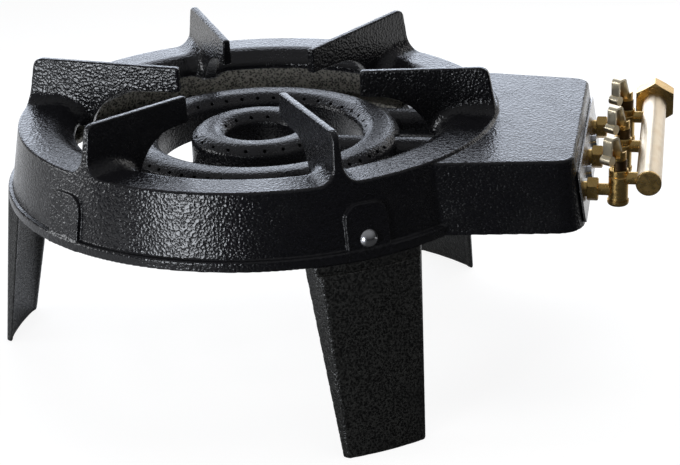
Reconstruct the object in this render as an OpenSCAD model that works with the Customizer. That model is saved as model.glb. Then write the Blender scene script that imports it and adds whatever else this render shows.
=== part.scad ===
// Gas ring burner: a cast ring on three legs, two burner rings and three brass lever taps.
// Millimetres, +Z up. The origin is on the ring's axis, at floor level.

/* [Ring casting] */
// Height of the flange's top above the floor
flange_z = 213; // [195:1:240]
// Outer radius of the flange's top
ring_r = 200; // [197:1:206]
// Inner radius of the flange, which is the edge of the well
well_r = 169; // [165:1:172]
// Height of the skirt, from the flange's top to its rim
skirt_h = 59; // [58:1:66]
// Growth of the skirt's radius from the flange to the rim
skirt_flare = 10.5; // [8:0.5:13]
// Height of the bead round the rim
bead_h = 8.5; // [6:0.5:10]
// Projection of the bead and of the leg pads from the skirt
bead_out = 2.5; // [1.5:0.5:4]
// Wall of the casting
cast_wall = 5; // [4:0.5:6]
// Depth of the lip round the well
lip_h = 17; // [14:1:18]
// Rounding of the flange's edges
edge_r = 3; // [1:0.5:4]

/* [Pot rests] */
// Number of long pot rests, with a short one between each two
rest_pairs = 3; // [3:1:4]
// Height of the pot rests above the flange, at their outer end
rest_h = 39; // [30:1:50]
// Thickness of a pot rest
rest_t = 5.5; // [4:0.5:8]
// Distance of the pot rests' outer end from the flange's edge
rest_inset = 9; // [8:0.5:14]
// Radius at the tip of a long pot rest
long_tip_r = 67; // [55:1:80]
// Radius at the tip of a short pot rest
short_tip_r = 87; // [75:1:95]
// Fall of the pot rests' top towards the middle, in degrees
rest_fall = 2.9; // [0:0.1:4]
// Height of a pot rest's underside above the flange
rest_under = 12; // [8:1:16]
// Radius of the hollow under a pot rest
root_r = 43; // [36:1:48]
// Reach of a pot rest's root from the well's edge
root_reach = 24; // [18:1:28]
// Radius of a pot rest's outer top corner
rest_corner = 9; // [4:1:14]
// Radius of the fillet at a pot rest's foot
foot_r = 7; // [3:0.5:8]

/* [Tap housing] */
// Distance of the housing's end from the ring's axis, at its top
box_end = 269.5; // [262:0.5:276]
// Width of the housing's top at that end
box_end_w = 210; // [200:1:220]
// Taper of the housing's sides in plan, in degrees
box_taper = 7.5; // [4:0.5:9]
// Draft of the housing's walls, in degrees
box_draft = 8.4; // [5:0.2:10]
// Radius of the housing's upright corners, at its top
box_corner = 15; // [10:1:20]
// Depth of the housing's top below the flange
box_drop = 1.5; // [1:0.5:3]

/* [Legs] */
// Angle of the two legs beside the housing from the housing's middle, in degrees
leg_angle = 55; // [50:1:57]
// Width of a leg's outer face at its top
leg_top_w = 84; // [76:1:92]
// Width of a leg's outer face at its foot
leg_foot_w = 68; // [56:1:76]
// Depth of a leg's side flanges at its top
leg_top_depth = 12.5; // [11:0.5:16]
// Depth of a leg's side flanges at its foot
leg_foot_depth = 7; // [6:0.5:11]
// Outward lean of a leg, in degrees
leg_splay = 6.2; // [3:0.2:9]
// Opening of a leg's side flanges, in degrees
leg_open = 28; // [15:1:32]
// Wall of a leg
leg_wall = 4.5; // [3.5:0.5:5.5]
// Projection of a leg's shoulder beyond the bead
leg_proud = 3; // [1.5:0.5:5]
// Thickness of the shoulder under the rim
shoulder_t = 8; // [6:1:10]
// Width of the tongue that a leg has inside the skirt
tongue_w = 44; // [38:1:50]
// Thickness of the tongue
tongue_t = 5; // [4:0.5:6]

/* [Leg bolts] */
// Diameter of the leg bolts
bolt_d = 8; // [6:1:10]
// Diameter of a bolt's domed head
bolt_head_d = 15; // [13:0.5:18]
// Height of a bolt's domed head
bolt_head_h = 4.5; // [3.5:0.5:6]
// Depth of the bolts below the flange's top
bolt_drop = 44; // [40:1:46]
// Width of a leg pad
pad_w = 36; // [30:1:42]
// Height of a leg pad's top above its bolt
pad_up = 28; // [24:1:30]
// Radius of a leg pad's top corners
pad_corner = 12; // [6:1:14]
// Thickness of the flat seat behind a leg pad
seat_t = 2; // [1.6:0.2:3]
// Width across flats of a bolt's nut
nut_af = 13; // [12:1:17]
// Height of that nut
nut_h = 6.5; // [5:0.5:8]
// Thickness of the washer under that nut
washer_t = 1.6; // [1:0.2:2]

/* [Burners] */
// Outer radius of the outer burner
outer_r = 118; // [114:1:122]
// Inner radius of the outer burner
outer_hole_r = 86; // [82:1:88]
// Depth of the outer burner's crest below the flange's top
outer_drop = 18; // [16:1:20]
// Number of ports on the outer burner's outer slope
outer_ports = 60; // [40:1:72]
// Number of ports on the outer burner's inner slope
outer_in_ports = 40; // [24:1:48]
// Outer radius of the inner burner
inner_r = 58; // [55:1:62]
// Radius of the hole in the inner burner
inner_hole_r = 28.5; // [26:0.5:30]
// Depth of the inner burner's crest below the flange's top
inner_drop = 16; // [14:1:19]
// Number of ports on the inner burner's outer slope
inner_ports = 22; // [16:1:30]
// Number of ports on the inner burner's inner slope
inner_in_ports = 14; // [8:1:18]
// Diameter of the ports
port_d = 2.8; // [2:0.2:3.4]
// Width of each sloping face of a burner ring, seen from above
slope_w = 10; // [8:0.5:11]
// Height of each sloping face
slope_h = 8; // [6:0.5:9]
// Rise of the rounded crest between the slopes
crest_rise = 1.4; // [0.8:0.2:2]
// Depth of the burners' underside below the flange's top
burner_base = 50; // [49:0.5:51]
// Wall of the burners
burner_wall = 4; // [3:0.5:4.5]

/* [Mixing tubes and injectors] */
// Distance between neighbouring taps
tap_pitch = 73; // [68:1:76]
// Depth of the injectors' axis below the flange's top
jet_drop = 36; // [35:0.5:37]
// Outer diameter of a mixing tube
tube_d = 24; // [22:0.5:25]
// Bore of a mixing tube
tube_bore = 17; // [14:0.5:18]
// Outer diameter of a mixing tube's bell mouth
bell_d = 33; // [28:1:36]
// Length of the bell mouth
bell_len = 12; // [8:1:16]
// Distance of the bell mouth from the inside of the housing's end
bell_gap = 18; // [15:1:24]
// Diameter of an injector's threaded shank
jet_d = 12; // [10:0.5:13]
// Width across flats of an injector's hexagon
jet_af = 17; // [15:1:19]
// Length of that hexagon
jet_hex = 9; // [8:0.5:11]
// Length of an injector's nozzle beyond its nut
jet_tip = 6; // [4:0.5:8]
// Height of an injector's nut
jet_nut = 5; // [4:0.5:6]
// Thickness of the end plate
plate_t = 1.5; // [1:0.25:2]
// Width of the end plate
plate_w = 194; // [186:1:200]
// Height of the end plate
plate_h = 42; // [36:1:44]

/* [Taps] */
// Distance of the taps' axes from the outside of the end plate
tap_reach = 26; // [24:0.5:30]
// Diameter of a tap's barrel
barrel_d = 15.5; // [14:0.5:18]
// Depth of a barrel's top below the flange's top
barrel_top = 18.5; // [17:0.5:20]
// Depth of a barrel's foot below the flange's top
barrel_foot = 43.5; // [42:0.5:46]
// Diameter of the cap under a barrel
cap_d = 17; // [15:0.5:19]
// Height of that cap
cap_h = 4.5; // [3.5:0.5:6]
// Diameter of a tap's outlet neck
neck_d = 9.5; // [8:0.5:10]
// Diameter of a tap's inlet spigot
spigot_d = 10; // [8:0.5:11]
// Diameter of the plug's taper at its top
plug_d = 10; // [9:0.5:10.5]
// Taper of the plug, in degrees a side
plug_taper = 3; // [1.5:0.5:4]
// Diameter of the gas way through a tap
gas_d = 4; // [3:0.5:4.5]
// Diameter of the plug's stem
stem_d = 6.5; // [6:0.5:7]
// Diameter of the collar round the stem
collar_d = 13; // [12:0.5:14]
// Height of that collar
collar_h = 7.5; // [6:0.5:9]
// Diameter of the plug's slotted head
head_d = 11.5; // [11:0.5:13]
// Height of that head
head_h = 7; // [6:0.5:9]
// Turn of a tap from shut to full, in degrees
tap_turn = 90; // [60:5:90]

/* [Levers] */
// Direction in which the levers point when shut, in degrees
lever_az = 235; // [215:5:250]
// Width of a lever's strip
lever_w = 8; // [6:0.5:9]
// Thickness of a lever's strip
lever_t = 1.8; // [1.4:0.2:2.2]
// Height of a lever's top above the flange's top
lever_top = 10.5; // [7:0.5:14]
// Distance of a lever's knob from its tap's axis
knob_reach = 14.5; // [13:0.5:17]
// Diameter of a lever's knob
knob_d = 8; // [6:0.5:9]

/* [Gas rail] */
// Diameter of the rail
rail_d = 20; // [18:0.5:22]
// Bore of the rail
rail_bore = 12; // [11:0.5:14]
// Depth of the rail's axis below the flange's top
rail_drop = 26; // [25:0.5:27]
// Distance of the rail's axis from the taps' axes
rail_reach = 23.5; // [22:0.5:26]
// Length of the rail beyond the near tap's axis
rail_near = 9; // [8:0.5:14]
// Length of the rail beyond the far tap's axis
rail_far = 34; // [28:1:44]
// Width across flats of the inlet union
union_af = 32; // [27:1:34]
// Length of the inlet union
union_len = 20; // [16:1:26]
// Core diameter of the inlet's thread
inlet_d = 18.6; // [15:0.2:20]
// Depth of the inlet's thread
inlet_depth = 13; // [10:0.5:14]

/* [Burner supports] */
// Height of the feet under the burners
foot_h = 5.5; // [5:0.5:6]
// Width of the strap under the burners and of the bar under their tubes
strap_w = 22; // [20:1:26]
// Thickness of the strap and the bar
strap_t = 3; // [2.5:0.5:3]
// Distance of the bar from the ring's axis
bar_x = 192; // [188:1:200]
// Diameter of the screws and bolts of the strap and the bar
screw_d = 6; // [5:0.5:6]
// Length of the lugs that carry the bar
lug_len = 20; // [16:1:24]
// Height of those lugs
lug_h = 14; // [12:1:20]

/* [Clearances] */
// Gap between seated pieces
seat_gap = 0.2; // [0.1:0.05:0.3]
// Radial clearance of a screw or bolt in its hole
hole_clear = 0.3; // [0.2:0.05:0.5]
// Radial clearance of a thread or a pressed spigot
thread_clear = 0.05; // [0.03:0.01:0.1]
// Radial running clearance of a tap's plug
plug_clear = 0.05; // [0.03:0.01:0.08]
// Gap between a turning and a fixed face
turn_gap = 0.4; // [0.3:0.05:0.6]

/* [Hidden] */
$fn = 64;
iron = [0.13, 0.13, 0.15];
leg_iron = [0.2, 0.2, 0.22];
brass = [0.78, 0.6, 0.3];
bright_brass = [0.88, 0.76, 0.5];
dark_brass = [0.32, 0.22, 0.12];
zinc = [0.75, 0.76, 0.78];

rim_z = flange_z - skirt_h;
flare_a = atan(skirt_flare / skirt_h);
bead_r = ring_r + skirt_flare + bead_out;
lip_r = well_r + cast_wall - 1;
rest_out = ring_r - rest_inset;
overlap = 1;

box_top = flange_z - box_drop;
box_h = box_top - rim_z;
box_in = well_r - 20;
jet_z = flange_z - jet_drop;
end_x = box_end + (box_top - jet_z) * tan(box_draft);
end_in_x = end_x - cast_wall / cos(box_draft);
plate_x = end_x + (seat_gap + plate_t) / cos(box_draft);
screw_y = tap_pitch / 2;

leg_az = [-leg_angle, leg_angle, 180];
spare_az = [180 - leg_angle, 180 + leg_angle];
leg_top_z = rim_z - seat_gap;
leg_top_x = bead_r + leg_proud;
leg_foot_x = leg_top_x + leg_top_z * tan(leg_splay);
bolt_z = flange_z - bolt_drop;
tongue_x = -(cast_wall + seat_t + seat_gap + tongue_t);
washer_d = nut_af + 3;
clamped = [0, 0, strap_t + seat_gap];
pad_down = (bolt_z - rim_z) / cos(flare_a) + overlap;

burner_z = flange_z - burner_base;
slope_a = atan(slope_h / slope_w);
outer_bolt_x = -(outer_r + outer_hole_r) / 2;
inner_bolt_x = -(inner_r + inner_hole_r) / 2;
bolt_boss_d = 2.2 * screw_d;
bolt_bite = 9;
seat_z = burner_z - foot_h;
strap_top = seat_z - seat_gap;
strap_foot = strap_top - strap_t;
strap_in = inner_hole_r + 2;
bar_half = box_end_w / 2 + (box_end - bar_x) * tan(box_taper) - cast_wall;
bar_screw_y = bar_half - lug_len / 2;
screw_head_d = 1.7 * screw_d;
screw_head_h = 0.6 * screw_d;
ear_reach = tube_d / 2 + screw_d;
ear_y = [ear_reach - tap_pitch, ear_reach, tap_pitch - ear_reach];
bell_x = end_in_x - bell_gap;
arch_r = tube_d / 2 + 1;

tap_x = plate_x + tap_reach;
tap_y = [-tap_pitch, 0, tap_pitch];
barrel_top_z = flange_z - barrel_top;
barrel_foot_z = flange_z - barrel_foot;
rail_x = tap_x + rail_reach;
rail_z = flange_z - rail_drop;
jet_hex_x = plate_x + jet_af / sqrt(3) * tan(box_draft) + seat_gap;
jet_nut_af = jet_d + 6;
jet_nut_x = end_in_x - jet_nut_af / sqrt(3) * tan(box_draft) - seat_gap - jet_nut;
socket_depth = jet_hex - 3;
neck_end_x = jet_hex_x + jet_hex - socket_depth + seat_gap;
spigot_end_x = rail_x - rail_bore / 2 - 1;
plug_foot_z = barrel_foot_z + 1;
collar_z = barrel_top_z + turn_gap;
head_z = collar_z + collar_h;
head_top_z = head_z + head_h;
cup_d = head_d - 4;
cup_depth = head_h - 2.5;
stop_d = 1.8;
stop_r = (plug_d + barrel_d) / 4;
stop_h = 3.2;
stop_half = asin((stop_d / 2 + turn_gap) / stop_r);
lever_top_z = flange_z + lever_top;
knob_z = head_z + knob_d / 2 - 1;
rail_y0 = -tap_pitch - rail_near;
rail_y1 = tap_pitch + rail_far;
plug_cap_t = 3;
spigot_len = 8;

// Radius of the skirt's outside at a height
function skirt_r(z) = ring_r + (flange_z - z) * tan(flare_a);

// Points along an arc from angle a0 to angle a1
function arc(x, y, r, a0, a1, n) = [
    for (i = [0:n])
        let (a = a0 + (a1 - a0) * i / n)
            [x + r * cos(a), y + r * sin(a)]
];

// Extrudes an outline drawn in Y and Z along X
module along_x(length) {
    rotate([90, 0, 90])
        linear_extrude(length)
            children();
}

// Puts a piece on the outside of the skirt at a leg's bolt, with X out of the skirt and Z up its slope
module on_pad(az) {
    rotate([0, 0, az])
        translate([skirt_r(bolt_z), 0, bolt_z])
            rotate([0, -flare_a, 0])
                children();
}

// Puts a piece on the housing's sloping end, with X out of the end
module on_end() {
    translate([end_x, 0, jet_z])
        rotate([0, -box_draft, 0])
            children();
}

// Puts a piece drawn along Z on an injector's axis, with its foot at x and Z along X
module on_jet(x, y) {
    translate([x, y, jet_z])
        rotate([0, 90, 0])
            children();
}

// A hexagonal prism with corners along X and turned chamfers at both ends
module hexagon(af, h) {
    face_r = 0.475 * af;
    corner_r = af / cos(30) / 2 + 0.5;
    chamfer = (corner_r - face_r) * tan(30);
    intersection() {
        cylinder(d = af / cos(30), h = h, $fn = 6);
        rotate_extrude()
            polygon([
                [0, 0], [face_r, 0], [corner_r, chamfer],
                [corner_r, h - chamfer], [face_r, h], [0, h]
            ]);
    }
}

// A cheese head with a slot across its foot; its screw goes on along Z
module slotted_head() {
    slot_w = 0.25 * screw_d;
    slot_depth = 0.45 * screw_head_h;
    difference() {
        cylinder(d = screw_head_d, h = screw_head_h);
        translate([-screw_head_d, -slot_w / 2, -overlap])
            cube([2 * screw_head_d, slot_w, slot_depth + overlap]);
    }
}

// An upright outline with two round top corners, from down below its origin to up above it
module pad_outline(w, up, down, r) {
    translate([-w / 2, -down])
        square([w, up + down - r]);
    translate([r - w / 2, -down])
        square([w - 2 * r, up + down]);
    for (side = [-1, 1])
        translate([side * (w / 2 - r), up - r])
            circle(r);
}

// The hollow corner of a fillet, with an overlap into both faces
module fillet_outline(r) {
    difference() {
        translate([-overlap, -overlap])
            square(r + overlap);
        translate([r, r])
            circle(r);
    }
}

// Section of the ring: flange, lip, flaring skirt and beaded rim
module ring_outline() {
    edge_x = ring_r + edge_r * tan(flare_a) - edge_r / cos(flare_a);
    lip_edge = edge_r / 2;
    bead_top = rim_z + bead_h;
    bead_edge = bead_out * 0.8;
    polygon(concat(
        arc(edge_x, flange_z - edge_r, edge_r, flare_a, 90, 5),
        arc(well_r + lip_edge, flange_z - lip_edge, lip_edge, 90, 180, 3),
        [[well_r, flange_z - lip_h], [lip_r, flange_z - lip_h], [lip_r, flange_z - cast_wall]],
        [[skirt_r(flange_z - cast_wall) - cast_wall, flange_z - cast_wall]],
        [[skirt_r(rim_z) - cast_wall, rim_z]],
        arc(bead_r - bead_edge, rim_z + bead_edge, bead_edge, -90, 0, 4),
        arc(bead_r - bead_edge, bead_top - bead_edge, bead_edge, 0, 90, 4),
        [[skirt_r(bead_top), bead_top]]
    ));
}

// Side view of a pot rest: radius along X, height along Y
module rest_outline(tip_r) {
    top_z = flange_z + rest_h;
    corner_x = rest_out - rest_corner;
    corner_z = top_z - rest_corner * (tan(rest_fall) + 1 / cos(rest_fall));
    hollow_z = flange_z + rest_under - root_r;
    rise = flange_z - lip_h - hollow_z;
    hollow_x = well_r - root_reach - sqrt(root_r * root_r - rise * rise);
    difference() {
        union() {
            polygon([
                [tip_r, flange_z + rest_under],
                [tip_r, top_z - (rest_out - tip_r) * tan(rest_fall)],
                [corner_x - rest_corner * sin(rest_fall), corner_z + rest_corner * cos(rest_fall)],
                [corner_x, corner_z],
                [rest_out, corner_z],
                [rest_out, flange_z - overlap],
                [well_r + overlap, flange_z - overlap],
                [well_r + overlap, flange_z - lip_h],
                [hollow_x, flange_z - lip_h],
                [hollow_x, flange_z + rest_under]
            ]);
            translate([corner_x, corner_z])
                circle(rest_corner);
        }
        translate([hollow_x, hollow_z])
            circle(root_r, $fn = 128);
    }
}

// A pot rest with the fillets at its foot
module pot_rest(tip_r) {
    foot_x = well_r + edge_r;
    rotate([90, 0, 0])
        linear_extrude(rest_t, center = true)
            rest_outline(tip_r);
    for (side = [0, 1])
        mirror([0, side, 0])
            translate([foot_x, rest_t / 2, flange_z])
                along_x(rest_out - rest_t / 2 - foot_x)
                    fillet_outline(foot_r);
    translate([rest_out - rest_t / 2, 0, flange_z])
        rotate([0, 0, -90])
            rotate_extrude(angle = 180)
                translate([rest_t / 2, 0])
                    fillet_outline(foot_r);
}

// The tap housing's outside, or with an inset its hollow: four drafted corner posts drawn together
module box_form(inset, top_z, foot_z) {
    side_w = box_end_w / 2 + (box_end - box_in) * tan(box_taper);
    radius = max(box_corner - inset, 1);
    edge = inset > 0 ? 0 : edge_r / 2;
    grow = tan(box_draft);
    ends = [[box_end - box_corner, box_end_w / 2 - box_corner], [box_in, side_w - box_corner]];
    hull()
        for (place = ends, side = [-1, 1])
            translate([place.x, side * place.y, 0]) {
                translate([0, 0, foot_z])
                    cylinder(
                        h = top_z - edge - foot_z,
                        r1 = radius + (box_top - foot_z) * grow,
                        r2 = radius + (box_top - top_z + edge) * grow,
                        $fn = 48
                    );
                if (edge > 0)
                    translate([0, 0, top_z - edge])
                        cylinder(h = edge, r1 = radius + edge * grow, r2 = radius - edge, $fn = 48);
            }
}

// Everything below the rim
module below_rim() {
    translate([0, 0, rim_z - 100])
        cylinder(r = 2 * ring_r, h = 100);
}

// Pads for the legs, with flat seats inside the skirt
module leg_pads() {
    difference() {
        union() {
            for (az = concat(leg_az, spare_az))
                on_pad(az)
                    translate([-cast_wall / 2, 0, 0])
                        along_x(cast_wall / 2 + bead_out)
                            pad_outline(pad_w, pad_up, pad_down, pad_corner);
            for (az = leg_az)
                on_pad(az)
                    translate([-cast_wall - seat_t, 0, 0])
                        along_x(seat_t + cast_wall / 2)
                            pad_outline(tongue_w + 4, pad_up - 6, pad_down, pad_corner);
        }
        below_rim();
    }
}

// Two lugs inside the housing's sides that carry the bar's ends
module bar_lugs() {
    intersection() {
        for (side = [0, 1])
            mirror([0, side, 0])
                translate([bar_x - strap_w / 2, bar_half - lug_len, seat_z])
                    cube([strap_w, 2 * lug_len, lug_h]);
        box_form(cast_wall / 2, box_top - cast_wall / 2, rim_z);
    }
}

// The main casting: ring, pot rests, tap housing and leg pads in one piece
module ring_casting() {
    color(iron)
        difference() {
            union() {
                rotate_extrude($fn = 192)
                    ring_outline();
                difference() {
                    box_form(0, box_top, rim_z);
                    translate([0, 0, rim_z - overlap])
                        cylinder(r = ring_r - overlap, h = skirt_h + 2 * overlap, $fn = 192);
                }
                for (i = [0:rest_pairs - 1]) {
                    rotate([0, 0, i * 360 / rest_pairs])
                        pot_rest(short_tip_r);
                    rotate([0, 0, (i + 0.5) * 360 / rest_pairs])
                        pot_rest(long_tip_r);
                }
                leg_pads();
            }
            difference() {
                box_form(cast_wall, box_top - cast_wall, rim_z - overlap);
                cylinder(r = lip_r, h = flange_z, $fn = 192);
                bar_lugs();
            }
            for (y = tap_y)
                on_jet(end_in_x - cast_wall, y)
                    cylinder(d = jet_d + 2 * hole_clear, h = 4 * cast_wall);
            for (side = [-1, 1]) {
                on_end()
                    translate([-cast_wall - overlap, side * screw_y, 0])
                        rotate([0, 90, 0])
                            cylinder(d = screw_d + 2 * thread_clear, h = cast_wall + 2 * overlap);
                blind_hole(bar_x, side * bar_screw_y);
            }
            for (az = leg_az)
                on_pad(az)
                    translate([tongue_x, 0, 0])
                        rotate([0, 90, 0])
                            cylinder(d = bolt_d + 2 * hole_clear, h = bead_out - tongue_x + overlap);
        }
}

// Section of a burner ring, or with an inset that of its gas chamber
module burner_outline(hole_r, rim_r, crest_z, inset) {
    slope_in = inset / cos(slope_a);
    low = burner_z + inset;
    shoulder = crest_z - crest_rise - slope_h - slope_in + inset * slope_h / slope_w;
    crest_foot = crest_z - crest_rise - slope_in;
    in_x = hole_r + slope_w;
    out_x = rim_r - slope_w;
    half = (out_x - in_x) / 2;
    crest_r = (half * half + crest_rise * crest_rise) / (2 * crest_rise);
    sweep = asin(half / crest_r);
    polygon(concat(
        [[hole_r + inset, low], [rim_r - inset, low], [rim_r - inset, shoulder]],
        arc((in_x + out_x) / 2, crest_foot + crest_rise - crest_r, crest_r, 90 - sweep, 90 + sweep, 6),
        [[hole_r + inset, shoulder]]
    ));
}

// Drills a ring of ports through one slope; side is 1 for the outer slope and -1 for the inner one
module ports(count, edge_radius, crest_z, side, gap_angle) {
    step = 360 / count;
    port_r = edge_radius - side * slope_w / 2;
    port_z = crest_z - crest_rise - slope_h / 2;
    for (i = [0:count - 1])
        let (az = (i + 0.5) * step)
            if (min(az, 360 - az) > gap_angle)
                rotate([0, 0, az])
                    translate([port_r, 0, port_z])
                        rotate([0, side * slope_a, 0])
                            cylinder(d = port_d, h = 3 * burner_wall, center = true, $fn = 16);
}

// Outside of a mixing tube from x0 to its bell mouth
module tube_form(x0, y) {
    on_jet(x0, y)
        cylinder(d = tube_d, h = bell_x - x0);
    on_jet(bell_x - bell_len, y)
        cylinder(d1 = tube_d, d2 = bell_d, h = bell_len);
}

// Bore of a mixing tube from x0 out through its bell mouth
module tube_way(x0, y) {
    on_jet(x0, y)
        cylinder(d = tube_bore, h = bell_x - x0 + overlap);
    on_jet(bell_x - bell_len, y)
        cylinder(d1 = tube_bore, d2 = tube_bore + bell_d - tube_d, h = bell_len + 0.01);
}

// Foot under a burner, which goes up into its chamber as a boss for the bolt
module bolt_boss(x) {
    translate([x, 0, seat_z])
        cylinder(d = bolt_boss_d, h = bolt_bite + foot_h);
}

// Threaded blind hole up into a casting, for a screw from below
module blind_hole(x, y) {
    translate([x, y, seat_z - overlap])
        cylinder(d = screw_d + 2 * thread_clear, h = bolt_bite + overlap + seat_gap);
}

// Ear beside a mixing tube, bolted to the bar
module tube_ear(i) {
    translate([bar_x, ear_y[i], seat_z])
        cylinder(d = bolt_boss_d, h = bolt_bite + foot_h);
    translate([bar_x - bolt_boss_d / 2, min(ear_y[i], tap_y[i]), seat_z])
        cube([bolt_boss_d, abs(ear_y[i] - tap_y[i]), bolt_bite + foot_h]);
}

// Outer burner: a ring fed by two tubes, with an arch where the inner burner's tube passes under it
module outer_burner() {
    crest_z = flange_z - outer_drop;
    tube_x0 = 0.65 * outer_r;
    color(iron)
        difference() {
            union() {
                rotate_extrude($fn = 128)
                    burner_outline(outer_hole_r, outer_r, crest_z, 0);
                bolt_boss(outer_bolt_x);
                difference() {
                    for (i = [0, 2]) {
                        tube_form(tube_x0, tap_y[i]);
                        tube_ear(i);
                    }
                    translate([0, 0, burner_z - 20])
                        cylinder(r = outer_hole_r + burner_wall, h = 80);
                }
            }
            difference() {
                rotate_extrude($fn = 128)
                    burner_outline(outer_hole_r, outer_r, crest_z, burner_wall);
                translate([0, -arch_r - burner_wall, burner_z])
                    cube([outer_r, 2 * (arch_r + burner_wall), burner_base]);
                bolt_boss(outer_bolt_x);
            }
            for (i = [0, 2]) {
                tube_way(tube_x0, tap_y[i]);
                blind_hole(bar_x, ear_y[i]);
            }
            on_jet(outer_hole_r - 10, 0)
                cylinder(r = arch_r, h = outer_r - outer_hole_r + 20);
            translate([outer_hole_r - 10, -arch_r, burner_z - overlap])
                cube([outer_r - outer_hole_r + 20, 2 * arch_r, jet_z - burner_z + overlap]);
            blind_hole(outer_bolt_x, 0);
            ports(outer_ports, outer_r, crest_z, 1, 10);
            ports(outer_in_ports, outer_hole_r, crest_z, -1, 12);
        }
}

// Inner burner: a ring on the end of its own tube
module inner_burner() {
    crest_z = flange_z - inner_drop;
    tube_x0 = inner_hole_r + burner_wall;
    color(iron)
        difference() {
            union() {
                rotate_extrude($fn = 96)
                    burner_outline(inner_hole_r, inner_r, crest_z, 0);
                bolt_boss(inner_bolt_x);
                tube_form(tube_x0, 0);
                tube_ear(1);
            }
            difference() {
                rotate_extrude($fn = 96)
                    burner_outline(inner_hole_r, inner_r, crest_z, burner_wall);
                bolt_boss(inner_bolt_x);
            }
            tube_way(tube_x0 + overlap, 0);
            blind_hole(inner_bolt_x, 0);
            blind_hole(bar_x, ear_y[1]);
            ports(inner_ports, inner_r, crest_z, 1, 0);
            ports(inner_in_ports, inner_hole_r, crest_z, -1, 0);
        }
}

// Clearance hole for a screw through the strap or the bar
module strap_hole(x, y) {
    translate([x, y, strap_foot - overlap])
        cylinder(d = screw_d + 2 * hole_clear, h = strap_t + 2 * overlap);
}

// Side view of the strap: radius along X, height along Y
module strap_outline() {
    lean = tan(flare_a);
    tab_r = skirt_r(bolt_z) + (tongue_x - seat_gap) / cos(flare_a);
    tab_t = strap_t / cos(flare_a);
    tab_top = bolt_z + nut_af;
    polygon([
        [strap_in, strap_foot],
        [tab_r + (bolt_z - strap_foot) * lean, strap_foot],
        [tab_r + (bolt_z - tab_top) * lean, tab_top],
        [tab_r - tab_t + (bolt_z - tab_top) * lean, tab_top],
        [tab_r - tab_t + (bolt_z - strap_top) * lean, strap_top],
        [strap_in, strap_top]
    ]);
}

// Strap under both burners; its outer end is turned up under the left leg's nut
module burner_strap() {
    color(iron)
        difference() {
            rotate([90, 0, 180])
                linear_extrude(strap_w, center = true)
                    strap_outline();
            on_pad(180)
                translate([tongue_x - 2 * strap_t, 0, 0])
                    rotate([0, 90, 0])
                        cylinder(d = bolt_d + 2 * hole_clear, h = 3 * strap_t);
            strap_hole(outer_bolt_x, 0);
            strap_hole(inner_bolt_x, 0);
        }
}

// Bar across the housing under the mixing tubes
module tube_bar() {
    color(iron)
        difference() {
            translate([bar_x - strap_w / 2, -bar_half, strap_foot])
                cube([strap_w, 2 * bar_half, strap_t]);
            for (y = concat(ear_y, [-bar_screw_y, bar_screw_y]))
                strap_hole(bar_x, y);
        }
}

// A cheese-head screw from below
module strap_screw(x, y) {
    translate([x, y, strap_foot - seat_gap - screw_head_h])
        slotted_head();
    translate([x, y, strap_foot - seat_gap - overlap])
        cylinder(d = screw_d, h = strap_t + bolt_bite + overlap);
}

module bar_screws() {
    color(zinc)
        for (side = [-1, 1])
            strap_screw(bar_x, side * bar_screw_y);
}

module burner_bolts() {
    color(zinc) {
        strap_screw(outer_bolt_x, 0);
        strap_screw(inner_bolt_x, 0);
        for (y = ear_y)
            strap_screw(bar_x, y);
    }
}

// Plan of a leg at its top (low = 0) or its foot (low = 1), with X outwards; inset makes its hollow
function leg_plan(low, inset) =
    let (
        face_x = low ? leg_foot_x : leg_top_x,
        half_w = (low ? leg_foot_w : leg_top_w) / 2 - inset / cos(leg_open),
        depth = (low ? leg_foot_depth : leg_top_depth) + 2 * inset,
        out = leg_wall
    )
    [
        [face_x + out, out * tan(leg_open) - half_w],
        [face_x + out, half_w - out * tan(leg_open)],
        [face_x - depth, half_w + depth * tan(leg_open)],
        [face_x - depth, -half_w - depth * tan(leg_open)]
    ];

// Tapering block between a leg's two plans
module leg_block(inset) {
    slice = 0.01;
    hull() {
        translate([0, 0, leg_top_z - slice])
            linear_extrude(slice)
                polygon(leg_plan(0, inset));
        linear_extrude(slice)
            polygon(leg_plan(1, inset));
    }
}

// Cone that rounds a leg's outer face, concentric with the ring
module leg_cone(inset) {
    rotate_extrude($fn = 192)
        polygon([
            [0, 0], [leg_foot_x - inset, 0], [leg_top_x - inset, leg_top_z], [0, leg_top_z]
        ]);
}

// A leg: tapering channel, shoulder under the rim and bolted tongue inside the skirt
module leg_form() {
    tongue_foot = (bolt_z - rim_z + shoulder_t) / cos(flare_a);
    block_in = skirt_r(rim_z) + tongue_x - 2;
    difference() {
        union() {
            difference() {
                intersection() {
                    leg_block(0);
                    leg_cone(0);
                }
                intersection() {
                    leg_block(leg_wall);
                    leg_cone(leg_wall);
                    translate([0, 0, -overlap])
                        cylinder(r = 2 * ring_r, h = leg_top_z - shoulder_t + overlap);
                }
            }
            translate([block_in, -tongue_w / 2, leg_top_z - shoulder_t])
                cube([leg_top_x - leg_top_depth - block_in + 2, tongue_w, shoulder_t]);
            intersection() {
                on_pad(0)
                    translate([tongue_x, 0, 0])
                        along_x(tongue_t)
                            pad_outline(tongue_w, pad_up - 12, tongue_foot, pad_corner);
                translate([0, -tongue_w, leg_top_z - shoulder_t])
                    cube([2 * ring_r, 2 * tongue_w, skirt_h]);
            }
        }
        on_pad(0)
            translate([tongue_x - overlap, 0, 0])
                rotate([0, 90, 0])
                    cylinder(d = bolt_d + 2 * hole_clear, h = tongue_t + 2 * overlap);
    }
}

module leg(i) {
    color(leg_iron)
        rotate([0, 0, leg_az[i]])
            leg_form();
}

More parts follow.
